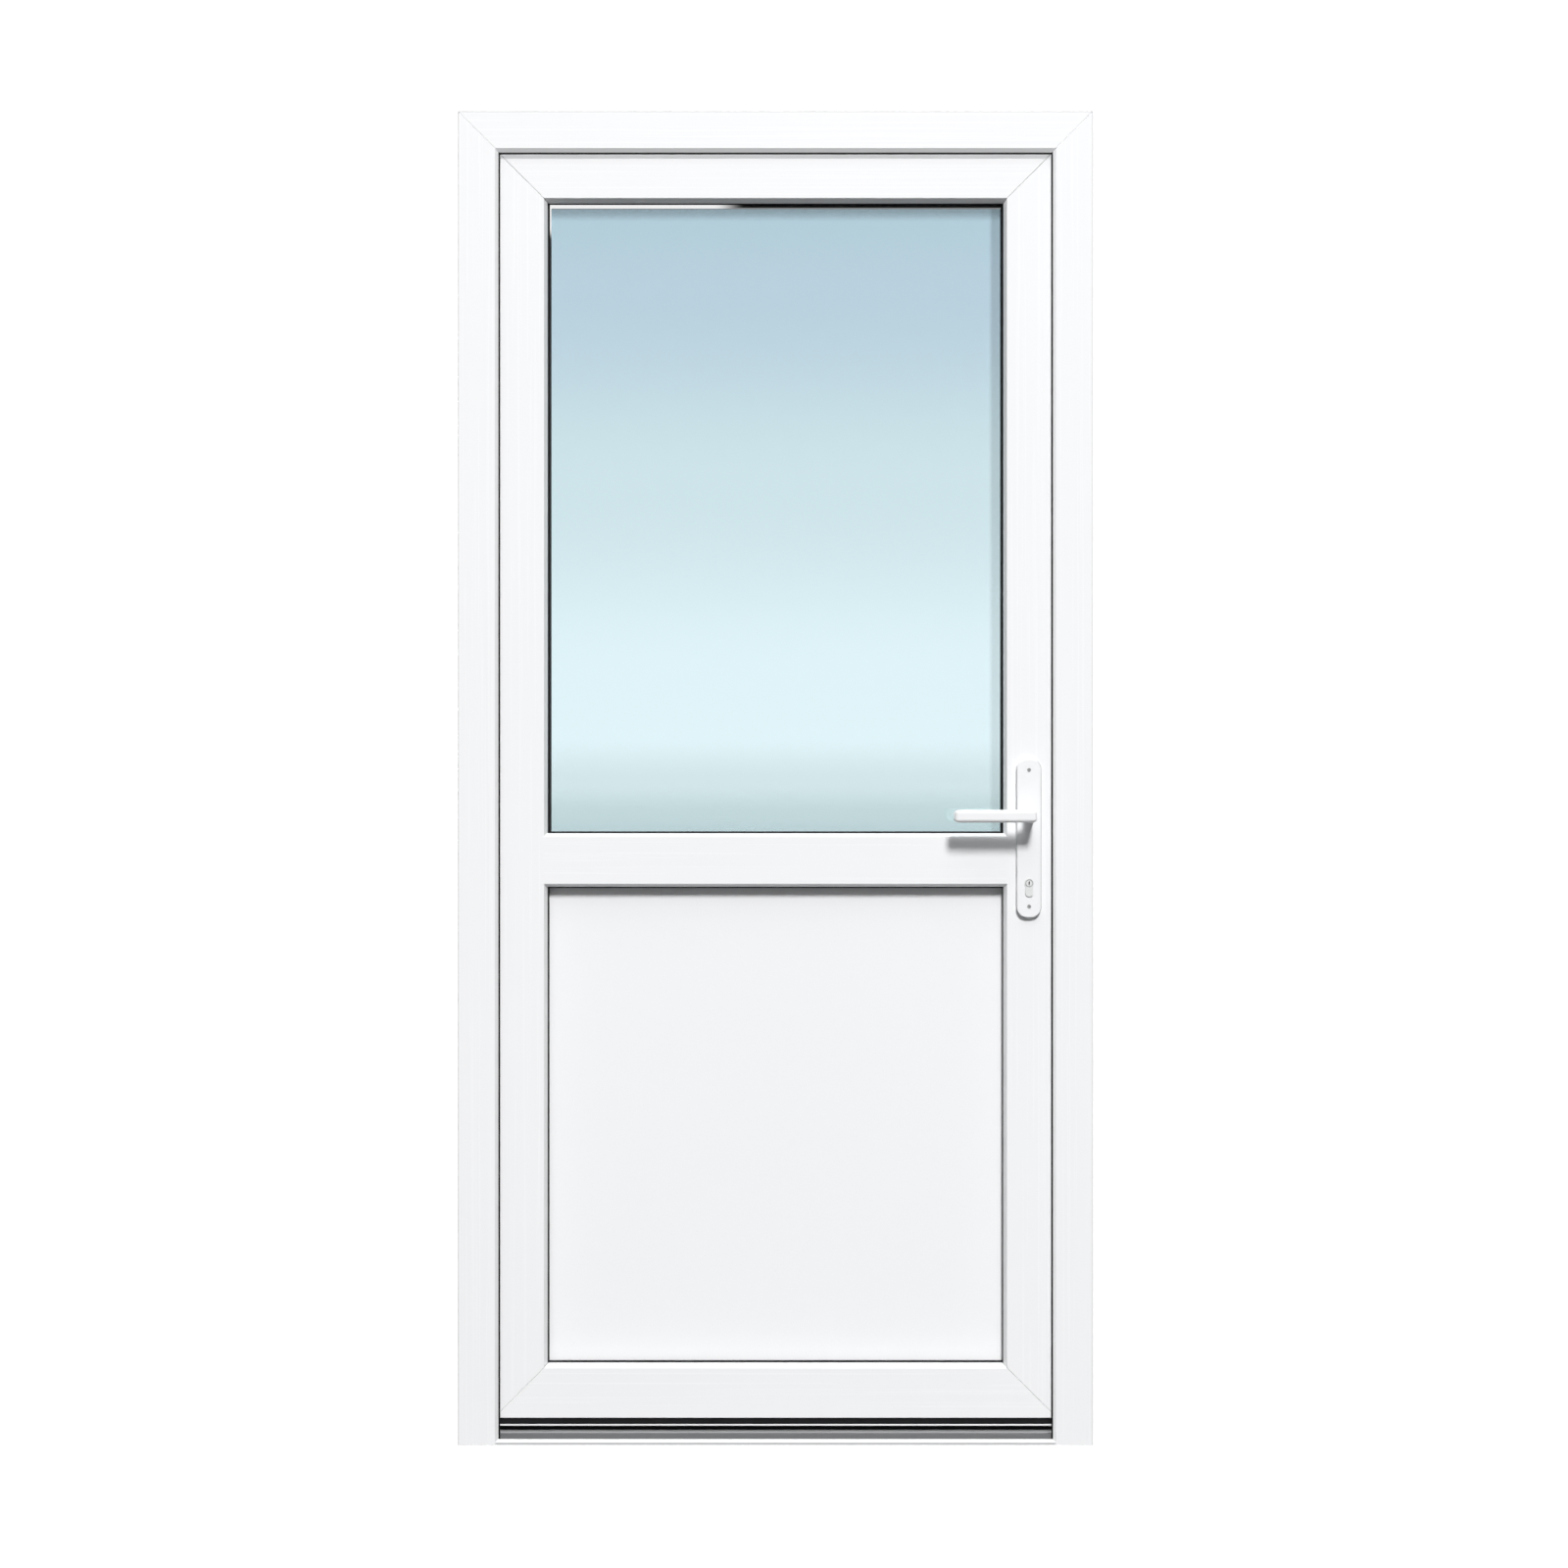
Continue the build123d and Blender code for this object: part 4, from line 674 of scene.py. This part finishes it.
def screws(name, places, axis, r, proud):
    bm = bmesh.new()
    for c in places:
        screw_head(bm, c, axis, r, proud)
    ob = finish_mesh(name, bm, 40.0)
    slots = bmesh.new()
    a = Vector(axis).normalized()
    side = a.cross(Vector((0, 0, 1))).normalized()
    up = side.cross(a).normalized()
    for c in places:
        top = Vector(c) + a * proud
        for d1, d2 in ((side, up), (up, side)):
            m = Matrix((
                (d1.x * r * 1.1 * MM, d2.x * r * 0.24 * MM, a.x * 1.2 * MM, top.x * MM),
                (d1.y * r * 1.1 * MM, d2.y * r * 0.24 * MM, a.y * 1.2 * MM, top.y * MM),
                (d1.z * r * 1.1 * MM, d2.z * r * 0.24 * MM, a.z * 1.2 * MM, top.z * MM),
                (0, 0, 0, 1)))
            one = bmesh.new()
            bmesh.ops.create_cube(one, size=1.0, matrix=m)
            bmesh.ops.recalc_face_normals(one, faces=one.faces)
            cut(ob, one, 40.0)
    return ob


hs = screws("hinge_wing_screws", [(-W / 2 + 67.0, 53.5, zc + d) for zc in HINGE_ZS for d in (-38.0, 0.0, 38.0)], (0, 1, 0), 4.2, 1.3)
piece(hs, "leaf", [], "steel", False)
fsx = screws("faceplate_screws", [(443.6, STRIKE_Y, z) for z in (190.0, 560.0, 820.0, 1080.0, 1420.0, 1910.0)], (1, 0, 0), 2.15, 0.8)
piece(fsx, "leaf", [], "steel", False)
sp = screws("strike_screws", [(455.6, STRIKE_Y, zc + s * (ln / 2 - 9.0)) for zc, ln in STRIKES for s in (-1, 1)], (-1, 0, 0), 2.15, 0.8)
piece(sp, "frame", [], "steel", False)

# ------------------------------------------------------------------ levers
def lever(name, out, y_leaf, h, tip, node):
    """Lever in one piece: collar and neck out of the plate, a tight bend and a flat grip with a domed end. out is -1 outside, 1 on the room side."""
    half, rc, dome = 7.0, 5.6, 6.6
    axis, foot = y_leaf + out * 51.0, y_leaf + out * 9.0

    def outline(d):
        a, b = half - d, h / 2 - 1.15 * d
        return rounded([(-a, -b), (a, -b), (a, b), (-a, b)], [max(rc - d, 0.12)] * 4, 9.0)

    full = outline(0.0)
    rings = [[(HX + a, foot, HZ + b) for a, b in full], [(HX + a, foot + out * 16.0, HZ + b) for a, b in full]]
    for k in range(13):
        t = math.radians(90.0 * k / 12)
        ring = []
        for a, b in full:
            r = 4.6 + 1.2 * a / half
            ring.append((HX + a - r + r * math.cos(t), axis + out * (a - r + r * math.sin(t)), HZ + b))
        rings.append(ring)
    for x in (HX - 40.0, tip + dome + 20.0):
        rings.append([(x, axis + out * a, HZ + b) for a, b in full])
    for k in range(11):
        t = math.radians(90.0 * k / 10)
        rings.append([(tip + 7.6 - 7.6 * math.sin(t), axis + out * a, HZ + b) for a, b in outline(dome * (1 - math.cos(t)))])
    bm = bmesh.new()
    add_rings(bm, rings)
    turned(bm, [(9.4, 1.2), (9.4, 11.9), (9.1, 12.6), (8.4, 13.0)], (HX, y_leaf, HZ), (0, out, 0), 56)
    piece(finish_mesh(name, bm, 40.0), "handle", [node], "handle")


lever("outer_lever_form", -1, -20.0, 20.0, 277.4, "outer_lever")
lever("inner_lever_form", 1, 50.0, 16.0, 293.0, "inner_lever")

# ------------------------------------------------------------------ pieces kept from the model
for n, key in (("outer_pane", "glass_out"), ("inner_pane", "glass_in"), ("lower_panel", "panel"),
               ("outer_backplate", "plate"), ("inner_backplate", "plate"),
               ("spindle", "steel"), ("plate_screws", "zinc"), ("lock_cylinder", "nickel"), ("lock_faceplate", "steel_up"),
               ("lock_bolts", "steel"), ("strike_plates", "steel_up"), ("hinge_brackets", "hinge"), ("hinge_wings", "hinge"),
               ("hinge_pins", "hinge")):
    paint(NODES[n], key)

cyl = NODES["lock_cylinder"]
CYL_C = cyl.matrix_world.inverted() @ Vector((HX * MM, 0.0, CYL_Z * MM))


def cylinder_face(nt):
    """The gap round the plug and the key slot are darker than the plated face."""
    x, y, z = position(nt)
    dx, dz = maths(nt, "SUBTRACT", x, float(CYL_C.x)), maths(nt, "SUBTRACT", z, float(CYL_C.z))
    r = maths(nt, "SQRT", maths(nt, "ADD", maths(nt, "MULTIPLY", dx, dx), maths(nt, "MULTIPLY", dz, dz)), 0.0)
    ring = maths(nt, "MULTIPLY", smooth_range(nt, r, 0.0, 1.0, 0.0046, 0.0050), smooth_range(nt, r, 1.0, 0.0, 0.0059, 0.0063))
    slot = maths(nt, "MULTIPLY", smooth_range(nt, maths(nt, "ABSOLUTE", dx, 0.0), 1.0, 0.0, 0.0006, 0.0010), smooth_range(nt, r, 1.0, 0.0, 0.0022, 0.0028))
    return maths(nt, "SUBTRACT", 1.0, maths(nt, "MAXIMUM", maths(nt, "MULTIPLY", ring, 0.45), maths(nt, "MULTIPLY", slot, 0.65)))


shaded(MAT["nickel"], cylinder_face)

# ------------------------------------------------------------------ floor, light, camera
fm = bmesh.new()
bmesh.ops.create_grid(fm, x_segments=1, y_segments=1, size=30.0)
fme = bpy.data.meshes.new("floor")
fm.to_mesh(fme)
fm.free()
floor = bpy.data.objects.new("floor", fme)
floor.location = (0, 0, -0.0006)
scene.collection.objects.link(floor)
m, nt, out = new_mat("pale_floor")
df = nt.nodes.new("ShaderNodeBsdfDiffuse")
df.inputs["Color"].default_value = (0.14, 0.14, 0.14, 1)
em = nt.nodes.new("ShaderNodeEmission")
lp = nt.nodes.new("ShaderNodeLightPath")
em.inputs["Strength"].default_value = 0.075
ad = nt.nodes.new("ShaderNodeAddShader")
nt.links.new(df.outputs["BSDF"], ad.inputs[0])
nt.links.new(em.outputs["Emission"], ad.inputs[1])
even = nt.nodes.new("ShaderNodeEmission")
even.inputs["Strength"].default_value = 1.15
mf = nt.nodes.new("ShaderNodeMixShader")
nt.links.new(lp.outputs["Is Camera Ray"], mf.inputs["Fac"])
nt.links.new(ad.outputs["Shader"], mf.inputs[1])
nt.links.new(even.outputs["Emission"], mf.inputs[2])
nt.links.new(mf.outputs["Shader"], out.inputs["Surface"])
fme.materials.append(m)

world = bpy.data.worlds.new("studio")
scene.world = world
world.use_nodes = True
wt = world.node_tree
wt.nodes.clear()
wo = wt.nodes.new("ShaderNodeOutputWorld")
bg1 = wt.nodes.new("ShaderNodeBackground")
bg1.inputs["Color"].default_value = (0.93, 0.97, 1.0, 1)
bg1.inputs["Strength"].default_value = 0.05
bg2 = wt.nodes.new("ShaderNodeBackground")
bg2.inputs["Color"].default_value = (1, 1, 1, 1)
bg2.inputs["Strength"].default_value = 1.15
lpw = wt.nodes.new("ShaderNodeLightPath")
mxw = wt.nodes.new("ShaderNodeMixShader")
wt.links.new(lpw.outputs["Is Camera Ray"], mxw.inputs["Fac"])
wt.links.new(bg1.outputs["Background"], mxw.inputs[1])
wt.links.new(bg2.outputs["Background"], mxw.inputs[2])
wt.links.new(mxw.outputs["Shader"], wo.inputs["Surface"])


def sun(name, direction, strength, angle, colour=(1, 1, 1)):
    d = bpy.data.lights.new(name, "SUN")
    d.energy, d.angle, d.color = strength, math.radians(angle), colour
    o = bpy.data.objects.new(name, d)
    o.rotation_mode = "QUATERNION"
    o.rotation_quaternion = Vector(direction).to_track_quat("-Z", "Y")
    scene.collection.objects.link(o)
    return o


def lamp(name, target, direction, distance, irradiance, angle):
    """A round lamp far off: nearly parallel light that falls off a little down the door."""
    d = bpy.data.lights.new(name, "POINT")
    d.energy = irradiance * 4 * math.pi * distance ** 2
    d.shadow_soft_size = distance * math.tan(math.radians(angle / 2))
    o = bpy.data.objects.new(name, d)
    o.location = Vector(target) - Vector(direction).normalized() * distance
    scene.collection.objects.link(o)
    return o


def no_shadow_from(light, pieces):
    group = bpy.data.collections.new(light.name + "_unshaded")
    for o in pieces:
        group.objects.link(o)
    light.light_linking.blocker_collection = group
    for c in group.collection_objects:
        c.light_linking.link_state = "EXCLUDE"


# the key is two lamps in one place: the frame's lip shades the leaf from one of them only, so softly
KEY = ((0.0, -0.02, 1.05), (-8.0, 51.0, -43.5), 26.0)
no_shadow_from(lamp("key", *KEY, 1.77, 11.0), (head, jamb_l, fs))
no_shadow_from(lamp("key_edges", *KEY, 1.53, 11.0), (jamb_l,))
sun("top_soft", (4.0, 47.0, -88.0), 0.90, 40.0)
sun("rim_left", (1.0, -1.5, -0.12), 1.6, 15.0)
sun("rim_right", (-1.0, -1.5, -0.12), 1.6, 15.0)
sun("back_fill", (30.0, -75.0, -16.0), 0.35, 20.0, (1.0, 0.99, 0.97))

cam = bpy.data.cameras.new("camera")
cam.lens, cam.sensor_width, cam.sensor_fit = 50.0, 36.0, "HORIZONTAL"
cam.clip_start, cam.clip_end = 0.05, 200.0
co = bpy.data.objects.new("camera", cam)
co.location = (0.0135, -3.457, 1.0408)
co.rotation_euler = (math.radians(90), 0, 0)
scene.collection.objects.link(co)
scene.camera = co

scene.view_settings.view_transform = "Standard"
scene.view_settings.look = "None"

bpy.context.view_layer.update()
